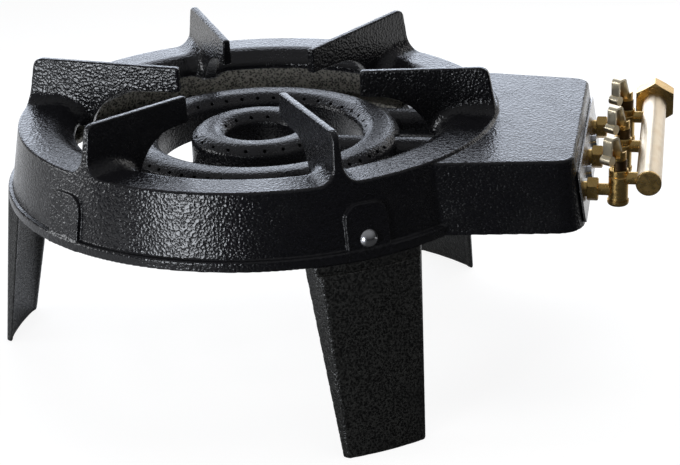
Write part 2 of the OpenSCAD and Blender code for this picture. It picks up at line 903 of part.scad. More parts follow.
// Domed bolts through the leg pads, with their washers and nuts; the left one also clamps the strap
module leg_bolts() {
    dome_r = (bolt_head_d * bolt_head_d / 4 + bolt_head_h * bolt_head_h) / (2 * bolt_head_h);
    grip = bead_out - tongue_x + 3 * seat_gap + washer_t + nut_h + 2;
    color(zinc)
        for (i = [0:2])
            on_pad(leg_az[i])
                translate([bead_out + seat_gap, 0, 0])
                    rotate([0, 90, 0]) {
                        rotate_extrude()
                            intersection() {
                                translate([0, bolt_head_h - dome_r])
                                    circle(dome_r);
                                square([bolt_head_d, bolt_head_h + overlap]);
                            }
                        translate([0, 0, -grip - clamped[i]])
                            cylinder(d = bolt_d, h = grip + clamped[i] + overlap);
                    }
}

module leg_washers() {
    color(zinc)
        for (i = [0:2])
            on_pad(leg_az[i])
                translate([tongue_x - clamped[i] - seat_gap - washer_t, 0, 0])
                    rotate([0, 90, 0])
                        difference() {
                            cylinder(d = washer_d, h = washer_t);
                            translate([0, 0, -overlap])
                                cylinder(d = bolt_d + 2 * hole_clear, h = washer_t + 2 * overlap);
                        }
}

module leg_nuts() {
    color(zinc)
        for (i = [0:2])
            on_pad(leg_az[i])
                translate([tongue_x - clamped[i] - 2 * seat_gap - washer_t - nut_h, 0, 0])
                    rotate([0, 90, 0])
                        difference() {
                            rotate([0, 0, 30])
                                hexagon(nut_af, nut_h);
                            translate([0, 0, -overlap])
                                cylinder(d = bolt_d + 2 * thread_clear, h = nut_h + 2 * overlap);
                        }
}

// Steel plate on the housing's end, which the injectors pass through
module end_plate() {
    corner = 6;
    color(zinc)
        difference() {
            on_end()
                translate([seat_gap, 0, 0])
                    along_x(plate_t)
                        for (turn = [0, 180])
                            rotate(turn)
                                pad_outline(plate_w, plate_h / 2, 0.01, corner);
            for (y = tap_y)
                on_jet(end_in_x, y)
                    cylinder(d = jet_d + 2 * hole_clear, h = 4 * cast_wall);
            for (side = [-1, 1])
                on_end()
                    translate([-overlap, side * screw_y, 0])
                        rotate([0, 90, 0])
                            cylinder(d = screw_d + 2 * hole_clear, h = plate_t + 3 * overlap);
        }
}

module end_plate_screws() {
    color(zinc)
        for (side = [-1, 1])
            on_end()
                translate([2 * seat_gap + plate_t + screw_head_h, side * screw_y, 0])
                    rotate([0, -90, 0]) {
                        slotted_head();
                        translate([0, 0, screw_head_h - overlap])
                            cylinder(d = screw_d, h = plate_t + cast_wall + overlap);
                    }
}

// Injector: hexagon with a socket for the tap's neck, shank through the plate and a tapering nozzle
module injector(i) {
    tip_x = jet_nut_x - jet_tip;
    jet_way = 1.2;
    color(brass)
        difference() {
            union() {
                on_jet(jet_hex_x, tap_y[i])
                    hexagon(jet_af, jet_hex);
                on_jet(jet_nut_x, tap_y[i])
                    cylinder(d = jet_d, h = jet_hex_x - jet_nut_x + overlap);
                on_jet(tip_x, tap_y[i])
                    cylinder(d1 = jet_d / 2, d2 = jet_d - 2, h = jet_tip + overlap);
            }
            on_jet(jet_hex_x + jet_hex - socket_depth, tap_y[i])
                cylinder(d = neck_d + 2 * thread_clear, h = socket_depth + overlap);
            on_jet(tip_x + 3, tap_y[i])
                cylinder(d = gas_d, h = jet_hex_x + jet_hex - tip_x);
            on_jet(tip_x - overlap, tap_y[i])
                cylinder(d = jet_way, h = jet_tip, $fn = 24);
        }
}

module injector_nut(i) {
    color(brass)
        on_jet(jet_nut_x, tap_y[i])
            difference() {
                hexagon(jet_nut_af, jet_nut);
                translate([0, 0, -overlap])
                    cylinder(d = jet_d + 2 * thread_clear, h = jet_nut + 2 * overlap);
            }
}

// Taper of a plug from z0 to z1; grow is the bore's clearance
module plug_taper_form(grow, z0, z1) {
    slope = 2 * tan(plug_taper);
    top_d = plug_d + 2 * grow;
    d0 = top_d + (z0 - barrel_top_z) * slope;
    d1 = top_d + (z1 - barrel_top_z) * slope;
    translate([0, 0, z0])
        cylinder(d1 = d0, d2 = d1, h = z1 - z0);
}

// Outside of a tap's barrel, with a groove turned round it below its top
module barrel() {
    groove = 0.7;
    edge = 0.5;
    groove_z = barrel_top_z - 0.22 * (barrel_top_z - barrel_foot_z);
    rotate_extrude()
        polygon([
            [0, barrel_foot_z],
            [barrel_d / 2, barrel_foot_z],
            [barrel_d / 2, groove_z - groove],
            [barrel_d / 2 - groove, groove_z],
            [barrel_d / 2, groove_z + groove],
            [barrel_d / 2, barrel_top_z - edge],
            [barrel_d / 2 - edge, barrel_top_z],
            [0, barrel_top_z]
        ]);
}

// Tap body: barrel with a tapered bore, outlet neck, inlet spigot and stop pin
module tap_body(i) {
    neck_len = tap_x - neck_end_x;
    color(brass)
        translate([tap_x, tap_y[i], 0]) {
            difference() {
                union() {
                    barrel();
                    translate([-neck_len, 0, jet_z])
                        rotate([0, 90, 0])
                            cylinder(d = neck_d, h = neck_len);
                    translate([0, 0, rail_z])
                        rotate([0, 90, 0])
                            cylinder(d = spigot_d, h = spigot_end_x - tap_x);
                }
                plug_taper_form(plug_clear, plug_foot_z, barrel_top_z + overlap);
                translate([0, 0, barrel_foot_z - overlap])
                    cylinder(d = gas_d, h = 3 * overlap);
                translate([-neck_len - overlap, 0, jet_z])
                    rotate([0, 90, 0])
                        cylinder(d = gas_d, h = neck_len + overlap);
                translate([0, 0, rail_z])
                    rotate([0, 90, 0])
                        cylinder(d = gas_d, h = spigot_end_x - tap_x + overlap);
            }
            rotate([0, 0, lever_az])
                translate([stop_r, 0, barrel_top_z - overlap])
                    cylinder(d = stop_d, h = stop_h + overlap, $fn = 24);
        }
}

// Domed cap that closes a barrel's foot
module tap_cap(i) {
    round_r = cap_h * 0.6;
    color(brass)
        translate([tap_x, tap_y[i], barrel_foot_z - seat_gap - cap_h])
            rotate_extrude() {
                translate([0, round_r])
                    square([cap_d / 2, cap_h - round_r]);
                square([cap_d / 2 - round_r, cap_h]);
                translate([cap_d / 2 - round_r, round_r])
                    intersection() {
                        circle(round_r);
                        translate([0, -round_r])
                            square(round_r);
                    }
            }
}

// Turning plug: taper with its gas way, stem and slotted cup head
module tap_plug(i) {
    foot_clear = 0.6;
    color(dark_brass)
        translate([tap_x, tap_y[i], 0])
            difference() {
                union() {
                    plug_taper_form(0, plug_foot_z + foot_clear, barrel_top_z);
                    translate([0, 0, barrel_top_z - overlap])
                        cylinder(d = stem_d, h = head_z - barrel_top_z + 2 * overlap);
                    translate([0, 0, head_z])
                        cylinder(d = head_d, h = head_h);
                }
                translate([0, 0, head_top_z - cup_depth])
                    cylinder(d = cup_d, h = cup_depth + overlap);
                rotate([0, 0, lever_az])
                    translate([-head_d, -lever_w / 2 - seat_gap, head_top_z - cup_depth])
                        cube([2 * head_d, lever_w + 2 * seat_gap, cup_depth + overlap]);
                rotate([0, 0, 180 - tap_turn])
                    translate([0, 0, jet_z])
                        rotate([0, 90, 0])
                            cylinder(d = gas_d, h = plug_d);
                rotate([0, 0, -tap_turn])
                    translate([0, 0, rail_z])
                        rotate([0, 90, 0])
                            cylinder(d = gas_d, h = plug_d);
                translate([0, 0, jet_z])
                    cylinder(d = gas_d, h = rail_z - jet_z);
            }
}

// Dark collar on the stem, cut away where the body's stop pin runs
module tap_collar(i) {
    reach = collar_d;
    a0 = lever_az - tap_turn - stop_half;
    a1 = lever_az + stop_half;
    color(dark_brass)
        translate([tap_x, tap_y[i], collar_z])
            difference() {
                cylinder(d = collar_d, h = collar_h - seat_gap);
                translate([0, 0, -overlap])
                    cylinder(d = stem_d + 2 * thread_clear, h = collar_h + 2 * overlap);
                translate([0, 0, -overlap])
                    linear_extrude(stop_h + overlap)
                        polygon(concat([[0, 0]], arc(0, 0, reach, a0, a1, 8)));
            }
}

// Side view of a lever's strip: up from the head, over and down to the knob
module lever_outline() {
    lean_x = knob_reach * 0.38;
    bend = 2 * lever_t;
    head_foot = head_top_z - cup_depth + seat_gap;
    low_z = knob_z;
    out_x = knob_reach + lever_t / 2;
    in_x = knob_reach - lever_t / 2;
    half = lever_t / 2;
    polygon(concat(
        [[-half, head_foot], [half, head_foot], [lean_x + half, lever_top_z - bend]],
        arc(lean_x + half + bend - lever_t, lever_top_z - bend, bend - lever_t, 180, 90, 4),
        arc(in_x - bend + lever_t, lever_top_z - bend, bend - lever_t, 90, 0, 4),
        [[in_x, low_z], [out_x, low_z]],
        arc(out_x - bend, lever_top_z - bend, bend, 0, 90, 5),
        arc(lean_x - half + bend, lever_top_z - bend, bend, 90, 180, 5)
    ));
}

// Lever: bent strip with a round knob across its lower end
module tap_lever(i) {
    color(bright_brass)
        translate([tap_x, tap_y[i], 0])
            rotate([0, 0, lever_az]) {
                rotate([90, 0, 0])
                    linear_extrude(lever_w, center = true)
                        lever_outline();
                translate([knob_reach, 0, knob_z])
                    rotate([90, 0, 0])
                        cylinder(d = knob_d, h = lever_w + 1, center = true);
            }
}

// Screw in the cup that holds the lever, beside the strip
module lever_screw(i) {
    shank_r = (cup_d - lever_t) / 4 - seat_gap;
    color(zinc)
        translate([tap_x, tap_y[i], head_top_z - cup_depth + seat_gap])
            rotate([0, 0, lever_az])
                translate([-lever_t / 2 - seat_gap - shank_r, 0, 0])
                    cylinder(r = shank_r, h = cup_depth - 1.2, $fn = 32);
}

// Gas rail: tube with a hole for each tap's spigot
module gas_rail() {
    color(brass)
        difference() {
            translate([rail_x, rail_y0, rail_z])
                rotate([-90, 0, 0])
                    cylinder(d = rail_d, h = rail_y1 - rail_y0);
            translate([rail_x, rail_y0 - overlap, rail_z])
                rotate([-90, 0, 0])
                    cylinder(d = rail_bore, h = rail_y1 - rail_y0 + 2 * overlap);
            for (y = tap_y)
                translate([rail_x - rail_d, y, rail_z])
                    rotate([0, 90, 0])
                        cylinder(d = spigot_d + 2 * thread_clear, h = rail_d);
        }
}

// Round plug that closes the rail's near end
module rail_plug() {
    chamfer = 0.8;
    color(brass)
        translate([rail_x, rail_y0 - seat_gap, rail_z])
            rotate([90, 0, 0]) {
                cylinder(d = rail_d, h = plug_cap_t - chamfer);
                translate([0, 0, plug_cap_t - chamfer])
                    cylinder(d1 = rail_d, d2 = rail_d - 2 * chamfer, h = chamfer);
                translate([0, 0, -rail_near / 2 - seat_gap])
                    cylinder(d = rail_bore - 2 * thread_clear, h = rail_near / 2 + 2 * seat_gap);
            }
}

// Hexagonal inlet union at the rail's far end, threaded for the hose
module inlet_union() {
    color(brass)
        translate([rail_x, rail_y1 + seat_gap, rail_z])
            rotate([-90, 0, 0])
                difference() {
                    union() {
                        rotate([0, 0, 90])
                            hexagon(union_af, union_len);
                        translate([0, 0, -spigot_len])
                            cylinder(d = rail_bore - 2 * thread_clear, h = spigot_len + overlap);
                    }
                    translate([0, 0, -spigot_len - overlap])
                        cylinder(d = gas_d * 2, h = union_len + spigot_len);
                    translate([0, 0, union_len - inlet_depth])
                        cylinder(d = inlet_d, h = inlet_depth + overlap);
                }
}

ring_casting();
outer_burner();
inner_burner();
burner_strap();
tube_bar();
bar_screws();
burner_bolts();
leg(0);  // leg_front
leg(1);  // leg_back
leg(2);  // leg_left
leg_bolts();
leg_washers();
leg_nuts();
end_plate();
end_plate_screws();
gas_rail();
rail_plug();
inlet_union();
injector(0);  // injector_near
injector(1);  // injector_mid
injector(2);  // injector_far
injector_nut(0);  // injector_nut_near
injector_nut(1);  // injector_nut_mid
injector_nut(2);  // injector_nut_far
tap_body(0);  // tap_body_near
tap_body(1);  // tap_body_mid
tap_body(2);  // tap_body_far
tap_cap(0);  // tap_cap_near
tap_cap(1);  // tap_cap_mid
tap_cap(2);  // tap_cap_far
tap_plug(0);  // tap_plug_near
tap_plug(1);  // tap_plug_mid
tap_plug(2);  // tap_plug_far
tap_collar(0);  // tap_collar_near
tap_collar(1);  // tap_collar_mid
tap_collar(2);  // tap_collar_far
tap_lever(0);  // tap_lever_near
tap_lever(1);  // tap_lever_mid
tap_lever(2);  // tap_lever_far
lever_screw(0);  // lever_screw_near
lever_screw(1);  // lever_screw_mid
lever_screw(2);  // lever_screw_far
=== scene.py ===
"""Gas ring burner: hammered black castings, two ported burner rings and brass lever taps on a pale floor."""
import logging
import math
from dataclasses import dataclass
from enum import Enum
from typing import Callable, Dict, List, Optional, Sequence, Tuple, Union

import bmesh
import bpy
import numpy as np
from mathutils import Matrix, Vector


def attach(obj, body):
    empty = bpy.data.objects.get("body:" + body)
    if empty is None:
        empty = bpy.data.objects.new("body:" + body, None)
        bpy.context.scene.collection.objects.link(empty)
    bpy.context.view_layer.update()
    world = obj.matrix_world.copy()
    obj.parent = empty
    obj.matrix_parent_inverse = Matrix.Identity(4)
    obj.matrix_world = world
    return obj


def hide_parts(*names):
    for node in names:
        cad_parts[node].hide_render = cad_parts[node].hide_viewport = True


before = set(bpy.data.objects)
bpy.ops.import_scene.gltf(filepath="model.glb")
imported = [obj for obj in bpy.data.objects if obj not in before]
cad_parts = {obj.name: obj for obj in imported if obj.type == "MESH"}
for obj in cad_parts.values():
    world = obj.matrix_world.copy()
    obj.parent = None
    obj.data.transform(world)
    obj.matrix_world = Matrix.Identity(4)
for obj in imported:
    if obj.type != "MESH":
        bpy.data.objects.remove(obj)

LOG = logging.getLogger("gas_ring")
MM = 0.001
IMAGE_W = 680

Array = np.ndarray
Colour = Tuple[float, float, float]
Place = Tuple[float, float, float]
Field = Callable[[Array, Array, Array], Array]
Finishes = Dict[str, bpy.types.Material]
Socket = bpy.types.NodeSocket


class Body(Enum):
    """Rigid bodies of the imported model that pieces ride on."""

    BASE = "base"
    TAP_NEAR = "tap_near"
    TAP_MID = "tap_mid"
    TAP_FAR = "tap_far"


class Tap(Enum):
    """The three taps, with the ending of their nodes' names."""

    NEAR = "near"
    MID = "mid"
    FAR = "far"

    @property
    def body(self) -> Body:
        """Body that turns with this tap's lever."""
        return Body(f"tap_{self.value}")


class LegPlace(Enum):
    """The three legs, with their angles round the ring in degrees."""

    FRONT = -55.0
    BACK = 55.0
    LEFT = 180.0

    @property
    def node(self) -> str:
        """Name of the leg's CAD node."""
        return f"leg_{self.name.lower()}"


class Tree:
    """Small helper that adds nodes to a material's or a world's node tree."""

    def __init__(self, owner: bpy.types.ID) -> None:
        """Empties the owner's node tree.

        Args:
            owner: material or world whose tree is built.
        """
        owner.use_nodes = True
        self.nodes = owner.node_tree.nodes
        self.links = owner.node_tree.links
        self.nodes.clear()

    def add(self, kind: str, inputs: Optional[Dict] = None, **settings: object) -> bpy.types.Node:
        """Adds one node.

        Args:
            kind: Blender's node type.
            inputs: socket names or numbers, each with a constant or a socket to link from.
            settings: attributes of the node.

        Returns:
            The new node.
        """
        node = self.nodes.new(kind)
        for name, value in settings.items():
            setattr(node, name, value)
        for name, value in (inputs or {}).items():
            if isinstance(value, Socket):
                self.links.new(value, node.inputs[name])
            else:
                node.inputs[name].default_value = value
        return node

    def mix(self, factor: Socket, first: object, second: object) -> Socket:
        """Mixes two colours.

        Args:
            factor: socket that drives the mix.
            first, second: colours, or sockets with colours.

        Returns:
            The mixed colour's socket.
        """
        ends = [c if isinstance(c, Socket) else (*c, 1.0) for c in (first, second)]
        inputs = {"Factor": factor, "A": ends[0], "B": ends[1]}
        return self.add("ShaderNodeMix", inputs, data_type="RGBA").outputs["Result"]

    def math(self, kind: str, first: object, second: object) -> Socket:
        """Adds a sum, product or other operation on two values or sockets."""
        return self.add("ShaderNodeMath", {0: first, 1: second}, operation=kind).outputs[0]

    def vector(self, kind: str, *inputs: object) -> bpy.types.Node:
        """Adds an operation on vectors, given as constants or sockets."""
        return self.add("ShaderNodeVectorMath", dict(enumerate(inputs)), operation=kind)

    def span(
        self, value: Socket, low: float, high: float, to_low: float = 0.0, to_high: float = 1.0
    ) -> Socket:
        """Maps the range from low to high to another range, with clamping."""
        inputs = {"Value": value, "From Min": low, "From Max": high, "To Min": to_low, "To Max": to_high}
        return self.add("ShaderNodeMapRange", inputs).outputs["Result"]

    def noise(self, place: Socket, scale: float, detail: float, output: str = "Fac") -> Socket:
        """Adds a noise texture of so many cells a metre, and gives one of its outputs."""
        inputs = {"Vector": place, "Scale": scale, "Detail": detail}
        return self.add("ShaderNodeTexNoise", inputs).outputs[output]

    def surface(self, inputs: Dict) -> None:
        """Ends a material with a principled shader that has these inputs."""
        shader = self.add("ShaderNodeBsdfPrincipled", inputs)
        self.add("ShaderNodeOutputMaterial", {"Surface": shader.outputs[0]})


@dataclass(frozen=True)
class HammeredEnamel:
    """Hammered stove enamel on cast iron: a skin of small worm-like ridges with a gloss.

    Attributes:
        name: name of the material.
        valley, crest: colours in the dimples and on the ridges between them.
        cell, depth: width and depth of a dimple, in metres.
        push, rounding: how far noise pushes the dimples about, in their widths, and how far they merge.
        gloss, dull: roughness of the ridges and of the dimples.
        ridge: distances in a cell, in its widths, where the ridge's colour starts and is full.
        patch, haze: duller patches to a metre, and the roughness that they add at most.
        dust, dusty: colour of those patches, and its share at most.
        burnt_and_lit, burnt_and_lit_shares: pale olive colour inside the skirt, partly heat discolouration
            and partly painted light on the inner wall, and its shares on ridges and in dimples.
        heat_and_light_r, heat_and_light_fall, heat_and_light_z: cone and height that bound that place: radius
        at
            height 0, fall of the radius with the height, and top.
    """

    name: str
    valley: Colour
    crest: Colour
    cell: float = 2.05 * MM
    depth: float = 0.42 * MM
    push: float = 1.3
    rounding: float = 0.7
    gloss: float = 0.17
    dull: float = 0.26
    ridge: Tuple[float, float] = (0.15, 0.5)
    patch: float = 28.0
    haze: float = 0.12
    dust: Colour = (0.012, 0.012, 0.013)
    dusty: float = 0.3
    # Pale olive for the skirt's inside: partly heat discolouration, partly painted light on the inner wall.
    burnt_and_lit: Colour = (0.19, 0.18, 0.152)
    burnt_and_lit_shares: Tuple[float, float] = (1.8, 0.25)
    heat_and_light_r: float = 0.0
    heat_and_light_fall: float = 0.0
    heat_and_light_z: float = 0.0

    def heat(self, tree: Tree, place: Socket) -> Socket:
        """Share of the pale olive colour, partly heat and partly painted light: most inside the cone and
        below its top.

        Args:
            tree: tree of the material.
            place: Object coordinates.

        Returns:
            A socket with the share.
        """
        flat = tree.vector("MULTIPLY", place, (1.0, 1.0, 0.0)).outputs[0]
        radius = tree.vector("LENGTH", flat).outputs["Value"]
        height = tree.add("ShaderNodeSeparateXYZ", {"Vector": place}).outputs["Z"]
        cone = tree.math("ADD", radius, tree.math("MULTIPLY", height, self.heat_and_light_fall))
        near = tree.span(cone, self.heat_and_light_r - 1 * MM, self.heat_and_light_r, 0.9, 0.0)
        low = tree.span(height, self.heat_and_light_z - 1 * MM, self.heat_and_light_z, 1.0, 0.0)
        return tree.math("MULTIPLY", near, low)

    def material(self) -> bpy.types.Material:
        """Builds the enamel.

        Returns:
            A material on Object coordinates: rounded cells, pushed about by noise so that their edges run
            like worms, give the height; broad patches dull it, and inside the skirt a pale olive colour is
            partly heat discolouration and partly painted light on the inner wall.
        """
        made = bpy.data.materials.new(self.name)
        tree = Tree(made)
        place = tree.add("ShaderNodeTexCoord").outputs["Object"]
        drift = tree.noise(place, 0.5 / self.cell, 1.0, "Color")
        shift = tree.vector("SUBTRACT", drift, (0.5, 0.5, 0.5)).outputs[0]
        bent = tree.vector("MULTIPLY_ADD", shift, (self.cell * self.push,) * 3, place).outputs[0]
        inputs = {"Vector": bent, "Scale": 1 / self.cell, "Smoothness": self.rounding}
        cells = tree.add("ShaderNodeTexVoronoi", inputs, feature="SMOOTH_F1").outputs["Distance"]
        patches = tree.noise(place, self.patch, 4.0)
        tone = tree.mix(tree.span(cells, *self.ridge), self.valley, self.crest)
        dusted = tree.mix(tree.span(patches, 0.5, 0.8, 0.0, self.dusty), tone, self.dust)
        # Pale olive inside the skirt: partly heat discolouration, partly painted light on the inner wall.
        light, dark = (tuple(share * c for c in self.burnt_and_lit) for share in self.burnt_and_lit_shares)
        browned_and_lit = tree.mix(tree.span(cells, 0.25, 0.6), dark, light)
        worn = tree.span(cells, 0.1, 0.6, self.dull, self.gloss)
        bump = tree.add("ShaderNodeBump", {"Height": cells, "Strength": 1.0, "Distance": self.depth})
        tree.surface({
            "Base Color": tree.mix(self.heat(tree, place), dusted, browned_and_lit),
            "Roughness": tree.math("ADD", worn, tree.span(patches, 0.45, 0.8, 0.0, self.haze)),
            "Normal": bump.outputs["Normal"],
        })
        return made


@dataclass(frozen=True)
class TurnedMetal:
    """Bare or plated metal with fine turning marks and a slightly uneven tone.

    Attributes:
        name: name of the material.
        bright: colour of the clean metal.
        stained: colour where it has darkened.
        low, high: range of the roughness.
        stain: share of the stained tone.
        cloud, smear, grain: clouds of stain, smears of roughness and fine marks to a metre.
        bump: depth of those marks, in metres.
    """

    name: str
    bright: Colour
    stained: Colour
    low: float = 0.12
    high: float = 0.3
    stain: float = 0.6
    cloud: float = 70.0
    smear: float = 260.0
    grain: float = 900.0
    bump: float = 0.02 * MM

    def material(self) -> bpy.types.Material:
        """Builds the metal.

        Returns:
            A material on Object coordinates: cloudy staining, smears of roughness and fine marks.
        """
        made = bpy.data.materials.new(self.name)
        tree = Tree(made)
        place = tree.add("ShaderNodeTexCoord").outputs["Object"]
        clouds = tree.noise(place, self.cloud, 4.0)
        smears = tree.noise(place, self.smear, 3.0)
        marks = tree.noise(place, self.grain, 2.0)
        bump = tree.add("ShaderNodeBump", {"Height": marks, "Strength": 0.5, "Distance": self.bump})
        tree.surface({
            "Base Color": tree.mix(tree.span(clouds, 0.4, 0.75, 0.0, self.stain), self.bright, self.stained),
            "Metallic": 1.0,
            "Roughness": tree.span(smears, 0.3, 0.7, self.low, self.high),
            "Normal": bump.outputs["Normal"],
        })
        return made


Finish = Union[HammeredEnamel, TurnedMetal]

BLACK_ENAMEL = HammeredEnamel(
    "black_enamel", (0.0025, 0.0025, 0.003), (0.006, 0.006, 0.0075),
    # The cone bounds the skirt's inside, where the pale olive is partly heat discolouration and partly
    # painted light.
    heat_and_light_r=235.4 * MM, heat_and_light_fall=0.178, heat_and_light_z=194.0 * MM,
)
LEG_ENAMEL = HammeredEnamel(
    "leg_enamel", (0.0008, 0.0008, 0.0008), (0.025, 0.025, 0.0235), cell=1.6 * MM, depth=0.5 * MM,
    gloss=0.22, dull=0.36, ridge=(0.3, 0.62), dust=(0.003, 0.003, 0.003),
)
BURNER_ENAMEL = HammeredEnamel(
    "burner_enamel", (0.003, 0.003, 0.0035), (0.01, 0.01, 0.012), cell=1.8 * MM, depth=0.42 * MM,
    gloss=0.2, dull=0.3, dust=(0.03, 0.03, 0.032),
)
STRAP_PAINT = HammeredEnamel(
    "strap_paint", (0.006, 0.006, 0.006), (0.012, 0.012, 0.012), cell=1.2 * MM, depth=0.1 * MM,
    gloss=0.4, dull=0.5,
)
BRASS = TurnedMetal("polished_brass", (0.8, 0.54, 0.2), (0.5, 0.31, 0.1), low=0.2, high=0.36)
# Pale rail brass: partly the brass itself, partly a painted highlight standing for the rail's bright sheen.
RAIL_BRASS_PAINTED_HIGHLIGHT = TurnedMetal("rail_brass", (0.88, 0.76, 0.58), (0.78, 0.62, 0.42), low=0.3, high=0.42)
# Near-white lever brass: partly brass, partly a painted highlight on the lever's bright face.
LEVER_BRASS_PAINTED_HIGHLIGHT = TurnedMetal(
    "lever_brass", (0.94, 0.84, 0.64), (0.8, 0.64, 0.38), low=0.28, high=0.38, bump=0.006 * MM
)
# Dark brass on the collar in the tap's neck: painted shade of that recess.
COLLAR_BRASS_PAINTED_SHADE = TurnedMetal("dark_brass", (0.12, 0.075, 0.035), (0.05, 0.03, 0.02), low=0.3, high=0.5)
ZINC = TurnedMetal("zinc_plate", (0.72, 0.73, 0.76), (0.52, 0.52, 0.55), low=0.12, high=0.26)
SHEET = TurnedMetal(
    "bright_sheet", (0.46, 0.45, 0.44), (0.33, 0.32, 0.31), low=0.2, high=0.34, grain=1500.0
)
FINISHES: Tuple[Finish, ...] = (
    BLACK_ENAMEL, LEG_ENAMEL, BURNER_ENAMEL, STRAP_PAINT,
    BRASS, RAIL_BRASS_PAINTED_HIGHLIGHT, LEVER_BRASS_PAINTED_HIGHLIGHT, COLLAR_BRASS_PAINTED_SHADE, ZINC, SHEET,
)


def sine(degrees: float) -> float:
    """Sine of an angle in degrees."""
    return math.sin(math.radians(degrees))


def cosine(degrees: float) -> float:
    """Cosine of an angle in degrees."""
    return math.cos(math.radians(degrees))


def tangent(degrees: float) -> float:
    """Tangent of an angle in degrees."""
    return math.tan(math.radians(degrees))


def joined(first: Array, second: Array, fillet: float) -> Array:
    """Joins two forms with a round fillet.

    Where both distances are under the fillet's radius, what each lacks to that radius is taken as a leg of a
    right triangle, and its long side is taken off the radius. Elsewhere the smaller distance holds.

    Args:
        first, second: distances to the two forms, negative inside.
        fillet: radius of the fillet.

    Returns:
        Distances to the joined form.
    """
    legs = np.hypot(np.maximum(fillet - first, 0.0), np.maximum(fillet - second, 0.0))
    return np.maximum(fillet, np.minimum(first, second)) - legs


def common(first: Array, second: Array, edge: float) -> Array:
    """Keeps what two forms share, with a round edge where their faces meet.

    Args:
        first, second: distances to the two forms, negative inside.
        edge: radius of the edge.

    Returns:
        Distances to the shared form, the joining rule turned inside out.
    """
    return -joined(-first, -second, edge)


def cut(form: Array, tool: Array, edge: float) -> Array:
    """Cuts one form out of another and rounds the edge."""
    return common(form, -tool, edge)


